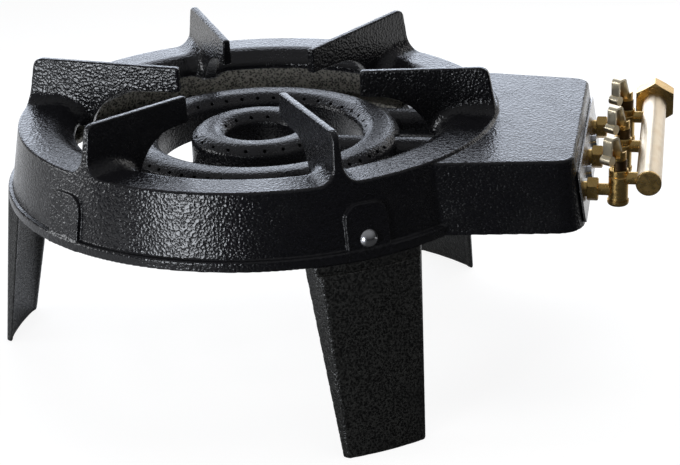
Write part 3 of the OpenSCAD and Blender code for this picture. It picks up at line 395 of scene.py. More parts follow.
@dataclass(frozen=True)
class SurfaceNet:
    """Mesh of the surface where a field of distances is zero.

    A grid of points carries the field. Each grid cell that the surface crosses gets one point, the mean of
    the crossings on its twelve edges, and each grid edge that the surface crosses gets one face between the
    four cells round it. The points then go along the field's slope until they are on the surface.

    Attributes:
        field: distances in millimetres, negative inside.
        low, high: corners of the grid, in millimetres.
        pitch: distance between grid points, in millimetres.
        reach: step to both sides that the slope is taken over, in millimetres.
        stride: longest move of a point, in millimetres.
        flattest: least square of the slope that a move is worked out with.
    """

    field: Field
    low: Place
    high: Place
    pitch: float
    reach: float = 0.05
    stride: float = 1.0
    flattest: float = 0.25

    def slope(self, points: Array) -> Array:
        """Slope of the field, from a step to both sides along each axis.

        Args:
            points: places as rows.

        Returns:
            Slopes as rows.
        """
        steps = self.reach * np.eye(3)
        rises = [self.field(*(points + s).T) - self.field(*(points - s).T) for s in steps]
        return np.stack(rises, 1) / (2.0 * self.reach)

    def settled(self, points: Array, rounds: int = 3) -> Array:
        """Moves points along the slope by the distance that the field gives.

        Args:
            points: points near the surface.
            rounds: number of moves.

        Returns:
            Points on the surface.
        """
        for _ in range(rounds):
            slope = self.slope(points)
            far = np.clip(self.field(*points.T), -self.stride, self.stride)
            far = far / np.maximum((slope**2).sum(1), self.flattest)
            points = points - slope * far[:, None]
        return points

    def faces(self) -> Tuple[Array, Array]:
        """Points and four-sided faces of the net.

        Returns:
            Points as rows of X, Y and Z in millimetres, and faces as rows of four point numbers.
        """
        low, high = np.array(self.low), np.array(self.high)
        count = np.ceil((high - low) / self.pitch).astype(int) + 1
        axes = [np.float32(low[i] + self.pitch * np.arange(count[i])) for i in range(3)]
        grid = np.meshgrid(*axes, indexing="ij", sparse=True)
        value = np.broadcast_to(self.field(*grid), tuple(count))
        inside = value < 0
        corners = [np.array([i, j, k]) for i in (0, 1) for j in (0, 1) for k in (0, 1)]

        def corner(values: Array, at: Array) -> Array:
            """The grid's values at one corner of every cell."""
            return values[tuple(slice(a, a + n - 1) for a, n in zip(at, count))]

        full = sum(corner(inside, at).astype(np.uint8) for at in corners)
        crossed = (full > 0) & (full < len(corners))
        number = np.full(crossed.shape, -1)
        number[crossed] = np.arange(crossed.sum())
        total = np.zeros((crossed.sum(), 3))
        hits = np.zeros(crossed.sum())
        for at in corners:
            for step in np.eye(3, dtype=int)[at == 0]:
                near, far = corner(value, at)[crossed], corner(value, at + step)[crossed]
                hit = (near < 0) != (far < 0)
                share = np.where(hit, near / np.where(hit, near - far, 1.0), 0.0)
                total += hit[:, None] * (at + share[:, None] * step)
                hits += hit
        points = low + self.pitch * (np.argwhere(crossed) + total / hits[:, None])
        return points, np.concatenate([self.rings(inside, number, axis) for axis in range(3)])

    @staticmethod
    def rings(inside: Array, number: Array, axis: int) -> Array:
        """Faces round the crossed grid edges along one axis.

        Args:
            inside: whether each grid point is inside.
            number: number of each cell's point.
            axis: axis of the edges.

        Returns:
            Rows of four point numbers, in the order that turns the faces outwards.
        """
        first, second = (axis + 1) % 3, (axis + 2) % 3
        here = [slice(1, -1)] * 3
        there = list(here)
        here[axis], there[axis] = slice(0, -1), slice(1, None)
        start = inside[tuple(here)]
        edges = np.argwhere(start != inside[tuple(there)])
        inwards = ~start[tuple(edges.T)]
        edges[:, [first, second]] += 1
        ring = []
        for a, b in ((-1, -1), (0, -1), (0, 0), (-1, 0)):
            cell = edges.copy()
            cell[:, first] += a
            cell[:, second] += b
            ring.append(number[tuple(cell.T)])
        ring = np.stack(ring, 1)
        ring[inwards] = ring[inwards][:, ::-1]
        return ring

    def mesh(self, name: str, keep: float) -> bpy.types.Mesh:
        """Makes the mesh in metres, thins its flat parts and gives it the field's own slopes as normals.

        Args:
            name: name of the mesh.
            keep: share of the faces that stay.

        Returns:
            The closed mesh.
        """
        points, rings = self.faces()
        dense = bpy.data.meshes.new(f"{name}_dense")
        dense.from_pydata(self.settled(points), [], rings.tolist())
        holder = bpy.data.objects.new(f"{name}_holder", dense)
        bpy.context.scene.collection.objects.link(holder)
        holder.modifiers.new("thin", "DECIMATE").ratio = keep
        graph = bpy.context.evaluated_depsgraph_get()
        made = bpy.data.meshes.new_from_object(holder.evaluated_get(graph))
        bpy.data.objects.remove(holder)
        bpy.data.meshes.remove(dense)
        made.name = name
        flat = np.empty(3 * len(made.vertices))
        made.vertices.foreach_get("co", flat)
        points = self.settled(flat.reshape(-1, 3), 1)
        slope = self.slope(points)
        made.vertices.foreach_set("co", (points * MM).ravel())
        made.polygons.foreach_set("use_smooth", np.ones(len(made.polygons), bool))
        made.update()
        made.normals_split_custom_set_from_vertices(slope / np.linalg.norm(slope, axis=1)[:, None])
        return made


def place_piece(
    mesh: bpy.types.Mesh, finish: bpy.types.Material, body: Body, node: str
) -> bpy.types.Object:
    """Makes an object of a mesh, dresses it and lets it ride on its body.

    Args:
        mesh: mesh in metres, in the frame of the model.
        finish: its material.
        body: body that it rides on.
        node: CAD node that it stands for.

    Returns:
        The piece, named after its node.
    """
    mesh.materials.clear()
    mesh.materials.append(finish)
    piece = bpy.data.objects.new(f"{node}_piece", mesh)
    bpy.context.scene.collection.objects.link(piece)
    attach(piece, body.value)
    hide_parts(node)
    LOG.info("%s: %d faces", piece.name, len(mesh.polygons))
    return piece


@dataclass(frozen=True)
class RingCasting:
    """The main casting: ring, pot rests, tap housing and leg pads. Sizes are in millimetres and degrees.

    Attributes:
        flange_z, rim_z: heights of the flange's top and of the rim.
        ring_r, well_r, lip_r: radii of the flange's outer and inner edge and of the sloping lip's edge.
        lip_fall, flare: fall of the lip to its edge, and growth of the skirt's radius from flange to rim.
        wall, lap: wall of the casting, and overlap of forms that are joined.
        ledge_r, ledge_h, ledge_in: radius and height of the ledge inside the rim, and its gap to the outside.
        bead_r, bead_half, bead_h, bead_round: middle, half width, flat height and rounding of the bead.
        bolt_z, bolt_r, bolt_reach: height, radius and half length of the leg bolts' holes.
        bare_angle: angle of the pads that have no leg.
        pad_half, pad_up, pad_corner, pad_out: a pad's half width, top above the bolt, corners and projection.
        seat_half, seat_up, seat_in: half width, top and depth of the flat seat behind a leg's pad.
        seat_r, seat_free: radius of the legs' places, and the room round them that the ledge leaves.
        rest_out, rest_top, rest_t, rest_fall: where a pot rest has its height, that height, its thickness
            and the fall of its top.
        rest_corner, rest_draft: radius of its outer top corner and draft of its sides.
        rest_foot, rest_root: depth of its foot in the well and of its root in the flange.
        fillet: fillet between pot rest and flange.
        tips: radii at the tips of the short and the long pot rests.
        hollow_x, hollow_z, hollow_r: the round hollow under a pot rest.
        box_from, box_end, box_half, box_corner, box_taper, box_draft, box_top: the housing.
        box_open: distance of the housing's hollow from the well's edge.
        jet_z, jet_pitch, jet_r, jet_len: holes for the injectors.
        lug_x, lug_y, lug_z, lug_half, lug_up: middle, inner end and height of the lugs in the housing, and
            half of their length and height.
        low, high, pitch, keep: corners and pitch of the net's grid, and share of its faces.
    """

    flange_z: float = 213.0
    rim_z: float = 154.0
    ring_r: float = 200.0
    well_r: float = 169.0
    lip_r: float = 154.5
    lip_fall: float = 10.5
    flare: float = 10.5
    wall: float = 5.0
    lap: float = 1.0
    ledge_r: float = 188.0
    ledge_h: float = 5.5
    ledge_in: float = 2.0
    bead_r: float = 209.75
    bead_half: float = 1.25
    bead_h: float = 6.5
    bead_round: float = 2.0
    bolt_z: float = 169.0
    bolt_r: float = 4.3
    bolt_reach: float = 12.0
    bare_angle: float = 125.0
    pad_half: float = 18.0
    pad_up: float = 28.0
    pad_corner: float = 12.0
    pad_out: float = 2.5
    seat_half: float = 24.0
    seat_up: float = 22.0
    seat_in: float = 7.0
    seat_r: float = 205.0
    seat_free: float = 25.5
    rest_out: float = 191.0
    rest_top: float = 252.0
    rest_t: float = 5.5
    rest_fall: float = 2.9
    rest_corner: float = 9.0
    rest_draft: float = 2.6
    rest_foot: float = 17.0
    rest_root: float = 2.0
    fillet: float = 13.0
    tips: Tuple[float, float] = (87.0, 67.0)
    hollow_x: float = 104.34
    hollow_z: float = 182.0
    hollow_r: float = 43.0
    box_from: float = 134.0
    box_end: float = 269.5
    box_half: float = 105.0
    box_corner: float = 15.0
    box_taper: float = 7.5
    box_draft: float = 8.4
    box_top: float = 210.8
    box_open: float = 4.0
    jet_z: float = 177.0
    jet_pitch: float = 73.0
    jet_r: float = 6.3
    jet_len: float = 14.0
    lug_x: float = 192.0
    lug_y: float = 90.0
    lug_z: float = 164.5
    lug_half: float = 11.0
    lug_up: float = 7.0
    low: Place = (-216.0, -216.0, 151.0)
    high: Place = (281.0, 216.0, 256.0)
    pitch: float = 1.55
    keep: float = 0.47

    @property
    def lean(self) -> float:
        """Lean of the skirt, in degrees."""
        return math.degrees(math.atan2(self.flare, self.flange_z - self.rim_z))

    def skirt(self, r: Array, z: Array) -> Array:
        """Distances to the skirt's cone from a radius and a height."""
        return (r - self.ring_r - (self.flange_z - z) * tangent(self.lean)) * cosine(self.lean)

    def ring(self, x: Array, y: Array, z: Array) -> Array:
        """Flange, lip, skirt, bead and pot rests.

        The flange's plane and the lip's cone bound a slab, to which the pot rests are joined; the skirt's
        cone ends both on the outside, and what lies a wall deeper is cut out. A bead goes round the rim,
        and a ledge inside it leaves the legs' seats free.

        Args:
            x, y, z: places.

        Returns:
            Distances to the ring.
        """
        r = np.hypot(x, y)
        out = self.skirt(r, z)
        inner = out + self.wall * cosine(self.lean)
        fall = math.degrees(math.atan2(self.lip_fall, self.well_r - self.lip_r))
        lip = (z - self.flange_z) * cosine(fall) - (r - self.well_r) * sine(fall)
        slab = common(common(z - self.flange_z, lip, edge=2.5), self.lip_r - r, edge=2.0)
        solid = common(joined(slab, self.rests(x, y, z), self.fillet), out, edge=2.0)
        gutter = common(inner, z - self.flange_z + self.wall, edge=3.0)
        shell = cut(solid, common(gutter, lip + self.wall, edge=2.0), edge=1.4)
        across, up = np.abs(r - self.bead_r) - self.bead_half, z - self.rim_z - self.bead_h
        corner = np.hypot(np.maximum(across, 0.0), np.maximum(up, 0.0))
        bead = corner + np.minimum(np.maximum(across, up), 0.0) - self.bead_round
        ledge = common(self.ledge_r - r, z - self.rim_z - self.ledge_h, edge=1.5)
        ledge = common(ledge, out + self.ledge_in, edge=0.5)
        for angle in (LegPlace.BACK.value, LegPlace.LEFT.value):
            ahead, aside = self.seat_r * cosine(angle), self.seat_r * sine(angle)
            ledge = np.maximum(ledge, self.seat_free - np.hypot(x - ahead, np.abs(y) - aside))
        return joined(joined(shell, bead, fillet=1.2), ledge, fillet=2.5)

    def rests(self, x: Array, y: Array, z: Array) -> Array:
        """The six pot rests, folded into one by turning each sixth of the circle onto the first.

        A rest is bounded by its falling top, its tip and the skirt's cone, with a large outer corner; a
        circle and the space before it are cut out below. Its sides draft outwards from the top, and the
        slab that is left has round edges.

        Args:
            x, y, z: places.

        Returns:
            Distances to the nearest pot rest.
        """
        r, turn = np.hypot(x, y), np.arctan2(y, x)
        sixth = np.round(turn / (math.pi / 3.0))
        off = turn - sixth * math.pi / 3.0
        along, across = r * np.cos(off), r * np.sin(off)
        tip = np.where(sixth % 2 == 0, *self.tips)
        drop = (self.rest_out - along) * tangent(self.rest_fall)
        top = (z - self.rest_top + drop) * cosine(self.rest_fall)
        side = common(top, self.skirt(along, z) - self.lap, self.rest_corner)
        side = common(side, tip - along, edge=2.0)
        under = np.minimum(
            np.hypot(along - self.hollow_x, z - self.hollow_z) - self.hollow_r,
            np.maximum(along - self.hollow_x, z - self.hollow_z - self.hollow_r),
        )
        side = cut(side, under, edge=0.8)
        foot = np.minimum(along - self.well_r - self.lap, self.flange_z - self.rest_root - z)
        side = np.maximum(side, np.maximum(self.flange_z - self.rest_foot - z, foot))
        half = self.rest_t / 2.0 + (self.rest_top - z) * tangent(self.rest_draft)
        return common(side, np.abs(across) - half, edge=1.3)

    def housing(self, x: Array, y: Array, z: Array) -> Array:
        """The housing's sloping walls.

        The plan at the top is a wedge with round corners; lower down it has grown by the draft.

        Args:
            x, y, z: places.

        Returns:
            Distances to the walls.
        """
        ahead = x - self.box_end + self.box_corner
        aside = np.abs(y) - self.box_half + self.box_corner
        flank = ahead * sine(self.box_taper) + aside * cosine(self.box_taper)
        rounded = (aside > 0) & (aside * sine(self.box_taper) < ahead * cosine(self.box_taper))
        wedge = np.maximum(np.maximum(ahead, flank), self.box_from - x)
        plan = np.where(rounded, np.hypot(ahead, aside), wedge)
        growth = (self.box_top - z) * tangent(self.box_draft)
        return (plan - self.box_corner - growth) * cosine(self.box_draft)

    def on_pad(self, x: Array, y: Array, z: Array, angle: float) -> Tuple[Array, Array, Array]:
        """Places as seen from a leg's bolt.

        Args:
            x, y, z: places.
            angle: angle of the bolt round the ring.

        Returns:
            Distances out of the skirt, along it and up its slope.
        """
        bolt_out = self.ring_r + (self.flange_z - self.bolt_z) * tangent(self.lean)
        out = x * cosine(angle) + y * sine(angle) - bolt_out
        up = z - self.bolt_z
        return (
            out * cosine(self.lean) + up * sine(self.lean),
            y * cosine(angle) - x * sine(angle),
            up * cosine(self.lean) - out * sine(self.lean),
        )

    def field(self, x: Array, y: Array, z: Array) -> Array:
        """The whole casting.

        Ring, housing and pads are joined with their fillets; the housing's hollow, the bolt holes and the
        injectors' holes are cut out; and the rim's plane ends it below.

        Args:
            x, y, z: places.

        Returns:
            Distances to the casting.
        """
        r, side = np.hypot(x, y), np.abs(y)
        walls = self.housing(x, y, z)
        box = np.maximum(common(walls, z - self.box_top, edge=2.2), self.ring_r - self.lap - r)
        cast = joined(self.ring(x, y, z), box, fillet=0.9)
        for angle in (LegPlace.BACK.value, LegPlace.LEFT.value, self.bare_angle):
            out, along, up = self.on_pad(x, side, z, angle)
            pad = common(np.abs(along) - self.pad_half, up - self.pad_up, self.pad_corner)
            pad = common(pad, out - self.pad_out, edge=1.0)
            cast = joined(cast, np.maximum(pad, -out - self.pad_out), fillet=0.8)
            if angle != self.bare_angle:
                seat = common(np.abs(along) - self.seat_half, up - self.seat_up, self.pad_corner)
                seat = common(seat, -out - self.seat_in, edge=1.0)
                cast = joined(cast, np.maximum(seat, out + self.pad_out), fillet=1.5)
                bolt = np.maximum(np.hypot(along, up) - self.bolt_r, np.abs(out) - self.bolt_reach)
                cast = cut(cast, bolt, edge=0.5)
        inside = walls + self.wall * cosine(self.box_draft)
        hollow = common(inside, z - self.box_top + self.wall, edge=4.0)
        hollow = common(hollow, self.well_r + self.box_open - r, edge=2.0)
        lug = np.maximum(np.abs(x - self.lug_x) - self.lug_half, self.lug_y - side)
        lug = np.maximum(lug, np.abs(z - self.lug_z) - self.lug_up)
        cast = cut(cast, cut(hollow, lug, edge=1.5), edge=1.4)
        for place in (0.0, self.jet_pitch):
            way = np.hypot(side - place, z - self.jet_z) - self.jet_r
            cast = cut(cast, np.maximum(way, self.box_end - self.jet_len - x), edge=0.5)
        return common(cast, self.rim_z - z, edge=0.8)

    def build(self, finishes: Finishes) -> None:
        """Makes the casting and dresses it in black enamel.

        Args:
            finishes: materials by name.
        """
        mesh = SurfaceNet(self.field, self.low, self.high, self.pitch).mesh("ring_casting_mesh", self.keep)
        place_piece(mesh, finishes[BLACK_ENAMEL.name], Body.BASE, "ring_casting")


@dataclass(frozen=True)
class Leg:
    """A cast leg: tapering channel, shoulder under the rim and tongue inside the skirt, in millimetres.

    Attributes:
        place: which leg it is.
        casting: the casting that it is bolted to.
        top_z, shoulder_t: height of its top and thickness of its shoulder.
        face_top, face_foot: radius of its outer face at the top and at the foot.
        half_top, half_foot: half of its width.
        depth_top, depth_foot: depth of its flanges.
        opening: opening of its flanges, in degrees.
        neck_h, neck_r: height and radius of the neck over its face.
        wall: its wall.
        shelf_from, shelf_to: reach of the shoulder inside the rim.
        tongue_half, tongue_up, tongue_corner: the tongue's half width, top above the bolt and corners.
        tongue_in, tongue_t: distance of the tongue's middle from the skirt, and its thickness.
        tongue_lap: overlap of tongue and shoulder.
        hole_reach: half of the bolt hole's length.
        low, high, pitch, keep: corners and pitch of the net's grid, and share of its faces.
    """

    place: LegPlace
    casting: RingCasting = RingCasting()
    top_z: float = 153.8
    shoulder_t: float = 8.0
    face_top: float = 216.0
    face_foot: float = 234.5
    half_top: float = 39.5
    half_foot: float = 31.5
    depth_top: float = 17.5
    depth_foot: float = 7.5
    opening: float = 31.0
    neck_h: float = 6.5
    neck_r: float = 213.0
    wall: float = 4.5
    shelf_from: float = 196.5
    shelf_to: float = 206.0
    tongue_half: float = 22.0
    tongue_up: float = 16.0
    tongue_corner: float = 12.0
    tongue_in: float = 9.7
    tongue_t: float = 5.0
    tongue_lap: float = 0.5
    hole_reach: float = 6.0
    low: Place = (188.0, -54.0, -3.0)
    high: Place = (243.0, 54.0, 190.0)
    pitch: float = 1.2
    keep: float = 0.5

    def channel(self, x: Array, y: Array, z: Array) -> Array:
        """The leg without shoulder and tongue.

        Between the foot and the top, face, width and depth change evenly with the height. The outer face is
        round about the ring's axis and the flanges open inwards; the same form, a wall smaller, is cut out
        below the shoulder. The face ends below a neck.

        Args:
            x, y, z: places, with X out of the ring.

        Returns:
            Distances to the channel.
        """
        rise = z / self.top_z
        face = self.face_foot + (self.face_top - self.face_foot) * rise
        half = self.half_foot + (self.half_top - self.half_foot) * rise
        depth = self.depth_foot + (self.depth_top - self.depth_foot) * rise
        r = np.hypot(x, y)
        outer = r - face
        side = (np.abs(y) - half - (face - x) * tangent(self.opening)) * cosine(self.opening)
        block = common(common(outer, side, edge=1.6), face - depth - x, edge=1.2)
        block = cut(block, np.maximum(self.top_z - self.neck_h - z, self.neck_r - r), edge=0.9)
        hollow = common(outer + self.wall, side + self.wall, edge=2.0)
        hollow = common(hollow, z - self.top_z + self.shoulder_t, edge=3.0)
        channel = cut(block, hollow, edge=1.3)
        return common(common(channel, z - self.top_z, edge=0.8), -z, edge=0.8)

    def field(self, x: Array, y: Array, z: Array) -> Array:
        """The whole leg: shoulder and tongue are joined to the channel, and the bolt's hole is cut out.

        Args:
            x, y, z: places, with X out of the ring.

        Returns:
            Distances to the leg.
        """
        out, along, up = self.casting.on_pad(x, y, z, 0.0)
        under = self.top_z - self.shoulder_t
        shelf = np.maximum(np.maximum(self.shelf_from - x, x - self.shelf_to), np.abs(y) - self.tongue_half)
        shelf = common(np.maximum(shelf, under - z), z - self.top_z, edge=0.8)
        away = np.abs(out + self.tongue_in)
        tongue = common(np.abs(along) - self.tongue_half, up - self.tongue_up, self.tongue_corner)
        tongue = common(tongue, away - self.tongue_t / 2.0, edge=1.0)
        tongue = np.maximum(tongue, under + self.tongue_lap - z)
        leg = joined(joined(self.channel(x, y, z), shelf, fillet=1.0), tongue, fillet=1.5)
        bolt = np.hypot(along, up) - self.casting.bolt_r
        return cut(leg, np.maximum(bolt, away - self.hole_reach), edge=0.4)

    def build(self, finishes: Finishes) -> None:
        """Makes the leg, turns it to its place and dresses it in dark enamel.

        Args:
            finishes: materials by name.
        """
        node = self.place.node
        mesh = SurfaceNet(self.field, self.low, self.high, self.pitch).mesh(f"{node}_mesh", self.keep)
        mesh.transform(Matrix.Rotation(math.radians(self.place.value), 4, "Z"))
        place_piece(mesh, finishes[LEG_ENAMEL.name], Body.BASE, node)


@dataclass(frozen=True)
class BurnerCasting:
    """A burner ring with its mixing tubes, in millimetres and degrees.

    Attributes:
        node: name of the CAD node.
        hole_r, rim_r: inner and outer radius of the ring.
        crest_z, base_z: heights of its crest and its underside.
        ports: numbers of ports on the outer and the inner slope.
        gaps: angles beside the housing's direction that have no ports, for both slopes.
        tubes, ears: places of the mixing tubes and of the bolted ears beside them, across the housing.
        tube_from: radius at which the tubes start.
        arch, arch_gap: whether the ring has an arch for a tube below it, and the gap between them.
        seat_z: height of the faces that are bolted to the strap and the bar.
        slope_w, slope_h: width and height of each slope of the ring.
        crest_rise, crest_share: rise of the crest between the slopes, and the share of a height over it that
            counts as distance.
        port_r, port_deep, no_port: radius and half depth of the ports, and the distance given where none is.
        jet_z, tube_r, bore_r, bore_len: height and radius of the tubes, and radius and length of their bores.
        bell_x, bell_len, bell_grow: end, length and growth of the tubes' bell mouths.
        bar_x: place of the bar that the ears are bolted to.
        boss_r, boss_h: radius and height of the ears and the foot.
        margin, tube_margin: room in the net's grid round the ring and beside the tubes.
        pitch, keep: pitch of the net's grid and share of its faces.
    """

    node: str
    hole_r: float
    rim_r: float
    crest_z: float
    ports: Tuple[int, int]
    gaps: Tuple[float, float]
    tubes: Tuple[float, ...]
    ears: Tuple[float, ...]
    tube_from: float
    arch: bool
    base_z: float = 163.0
    seat_z: float = 157.5
    slope_w: float = 6.6
    slope_h: float = 6.4
    crest_rise: float = 1.0
    crest_share: float = 0.95
    port_r: float = 1.4
    port_deep: float = 5.0
    no_port: float = 50.0
    jet_z: float = 177.0
    tube_r: float = 12.0
    bore_r: float = 8.5
    bell_x: float = 251.54
    bell_len: float = 12.0
    bell_grow: float = 4.5
    bore_len: float = 70.0
    arch_gap: float = 1.0
    bar_x: float = 192.0
    boss_r: float = 6.6
    boss_h: float = 14.5
    margin: float = 3.0
    tube_margin: float = 20.0
    pitch: float = 1.0
    keep: float = 0.6

    @property
    def middle_r(self) -> float:
        """Radius of the ring's middle."""
        return (self.rim_r + self.hole_r) / 2.0

    def section(self, r: Array, z: Array) -> Array:
        """Section of the ring: walls, slopes, a flat underside and a crest that falls with the square.

        Args:
            r, z: radii and heights.

        Returns:
            Distances to the ring.
        """
        long = math.hypot(self.slope_w, self.slope_h)
        shoulder = z - self.crest_z + self.crest_rise + self.slope_h
        walls = []
        for past in (r - self.rim_r, self.hole_r - r):
            slope = (past * self.slope_h + shoulder * self.slope_w) / long
            walls.append(common(past, slope, edge=1.6))
        half = (self.rim_r - self.hole_r) / 2.0 - self.slope_w
        away = (r - self.middle_r) / half
        crest = (z - self.crest_z + self.crest_rise * away * away) * self.crest_share
        return common(common(np.maximum(*walls), crest, edge=2.0), self.base_z - z, edge=1.2)

    def port_holes(self, x: Array, y: Array, z: Array, outer: bool) -> Array:
        """The ports of one slope, folded into one hole that stands square on the slope.

        Args:
            x, y, z: places.
            outer: whether it is the outer slope.

        Returns:
            Distances to the holes, which are blind and dark.
        """
        row = 0 if outer else 1
        way, edge_r = (1.0, self.rim_r) if outer else (-1.0, self.hole_r)
        long = math.hypot(self.slope_w, self.slope_h)
        r, turn = np.hypot(x, y), np.arctan2(y, x)
        step = 2.0 * math.pi / self.ports[row]
        off = turn - (np.floor(turn / step) + 0.5) * step
        along, across = r * np.cos(off), r * np.sin(off)
        from_x = way * (along - edge_r) + self.slope_w / 2.0
        from_z = z - self.crest_z + self.crest_rise + self.slope_h / 2.0
        over = (from_x * self.slope_w - from_z * self.slope_h) / long
        deep = (from_x * self.slope_h + from_z * self.slope_w) / long
        hole = np.maximum(np.hypot(over, across) - self.port_r, np.abs(deep) - self.port_deep)
        return np.where(np.abs(np.degrees(turn - off)) > self.gaps[row], hole, self.no_port)

    def boss(self, plan: Array, z: Array) -> Array:
        """A boss on the seats' height, from the distances to its plan."""
        half = self.boss_h / 2.0
        return common(plan, np.abs(z - self.seat_z - half) - half, edge=0.8)

    def field(self, x: Array, y: Array, z: Array) -> Array:
        """The whole burner: tubes, ears and foot are joined to the ring, bores, arch and ports are cut out.

        Args:
            x, y, z: places.

        Returns:
            Distances to the burner.
        """
        r = np.hypot(x, y)
        form = self.section(r, z)
        grow = self.bell_grow * np.clip((x - self.bell_x + self.bell_len) / self.bell_len, 0.0, 1.0)
        for place in self.tubes:
            tube = np.hypot(y - place, z - self.jet_z) - self.tube_r - grow
            tube = common(tube, x - self.bell_x, edge=1.0)
            form = joined(form, np.maximum(tube, np.maximum(self.tube_from - r, -x)), fillet=4.0)
        for place, tube in zip(self.ears, self.tubes):
            nearest = np.clip(y, min(place, tube), max(place, tube))
            ear = np.hypot(x - self.bar_x, y - nearest) - self.boss_r
            form = joined(form, self.boss(ear, z), fillet=2.0)
        foot = np.hypot(x + self.middle_r, y) - self.boss_r
        form = joined(form, self.boss(foot, z), fillet=1.5)
        for place in self.tubes:
            bore = np.hypot(y - place, z - self.jet_z) - self.bore_r - grow
            form = cut(form, np.maximum(bore, self.bell_x - self.bore_len - x), edge=0.8)
        if self.arch:
            span = self.tube_r + self.arch_gap
            sides = np.maximum(np.abs(y) - span, z - self.jet_z)
            arch = np.minimum(np.hypot(y, z - self.jet_z) - span, sides)
            form = cut(form, np.maximum(arch, -x), edge=1.2)
        for outer in (True, False):
            form = cut(form, self.port_holes(x, y, z, outer), edge=0.35)
        return form

    def build(self, finishes: Finishes) -> None:
        """Makes the burner and dresses it in grey enamel.

        Args:
            finishes: materials by name.
        """
        reach = self.rim_r + self.margin
        wide = max(reach, max(self.tubes) + self.tube_margin)
        low = (-reach, -wide, self.seat_z - self.margin)
        high = (self.bell_x + self.margin, wide, self.crest_z + self.margin)
        mesh = SurfaceNet(self.field, low, high, self.pitch).mesh(f"{self.node}_mesh", self.keep)
        place_piece(mesh, finishes[BURNER_ENAMEL.name], Body.BASE, self.node)


@dataclass(frozen=True)
class RoundedPieces:
    """CAD solids carried over with their edges rounded.

    Attributes:
        nodes: names of the CAD nodes.
        finish: finish of all of them.
        slot: material slot of the record.
        body: body that they ride on.
        edge: radius of the rounded edges, in metres.
        steps: faces across a rounded edge.
        sharp: edges that bend more than this many degrees are rounded.
        weld: corners nearer than this are one, in metres.
    """

    nodes: Sequence[str]
    finish: Finish
    slot: str
    body: Body = Body.BASE
    edge: float = 0.4 * MM
    steps: int = 2
    sharp: float = 32.0
    weld: float = 2e-6

    def build(self, finishes: Finishes) -> None:
        """Copies each solid, joins its loose triangles, rounds its edges and evens out its shading.

        Args:
            finishes: materials by name.
        """
        for name in self.nodes:
            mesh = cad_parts[name].data.copy()
            mesh.name = f"{name}_mesh"
            loose = bmesh.new()
            loose.from_mesh(mesh)
            bmesh.ops.remove_doubles(loose, verts=loose.verts, dist=self.weld)
            loose.to_mesh(mesh)
            loose.free()
            mesh.polygons.foreach_set("use_smooth", np.ones(len(mesh.polygons), bool))
            piece = place_piece(mesh, finishes[self.finish.name], self.body, name)
            bevel = piece.modifiers.new("edges", "BEVEL")
            bevel.width = self.edge
            bevel.segments = self.steps
            bevel.limit_method = "ANGLE"
            bevel.angle_limit = math.radians(self.sharp)
            piece.modifiers.new("shading", "WEIGHTED_NORMAL").weight = 50


@dataclass(frozen=True)
class Lamp:
    """A soft box that the camera doesn't see, in metres and watts.

    Attributes:
        name: name of the lamp.
        place: its middle.
        size: its width and height.
        power: its power.
        tint: its colour.
        aim: point that it faces.
        mirrored: whether gloss shows it.
    """

    name: str
    place: Place
    size: Tuple[float, float]
    power: float
    tint: Colour
    aim: Place = (0.05, 0.0, 0.2)
    mirrored: bool = True

    def build(self) -> None:
        """Adds the lamp and turns it to its aim."""
        data = bpy.data.lights.new(self.name, "AREA")
        data.shape = "RECTANGLE"
        data.size, data.size_y = self.size
        data.energy = self.power
        data.color = self.tint
        lamp = bpy.data.objects.new(self.name, data)
        lamp.location = self.place
        lamp.rotation_mode = "QUATERNION"
        lamp.rotation_quaternion = (Vector(self.aim) - Vector(self.place)).to_track_quat("-Z", "Y")
        lamp.visible_camera = False
        lamp.visible_glossy = self.mirrored
        bpy.context.scene.collection.objects.link(lamp)


LAMPS = (
    Lamp("back_box", (-0.245, 0.85, 0.33), (1.21, 0.38), 4.5, (0.8, 0.87, 1.0)),
    Lamp("upper_back_box", (-0.245, 0.8, 0.78), (1.21, 0.5), 3.6, (0.82, 0.88, 1.0)),
    Lamp("side_back_box", (0.62, 0.85, 0.45), (0.5, 0.62), 1.0, (1.0, 0.98, 0.96)),
    Lamp("top_box", (0.25, 0.1, 1.5), (1.0, 0.9), 10.0, (1.0, 0.99, 0.97), mirrored=False),
    Lamp("front_left_box", (-0.5, -1.3, 0.28), (0.34, 0.5), 7.4, (0.9, 0.94, 1.0), (-0.1, -0.2, 0.18)),
    Lamp("left_box", (-1.5, -0.35, 0.5), (0.6, 0.6), 7.0, (0.95, 0.97, 1.0)),
)


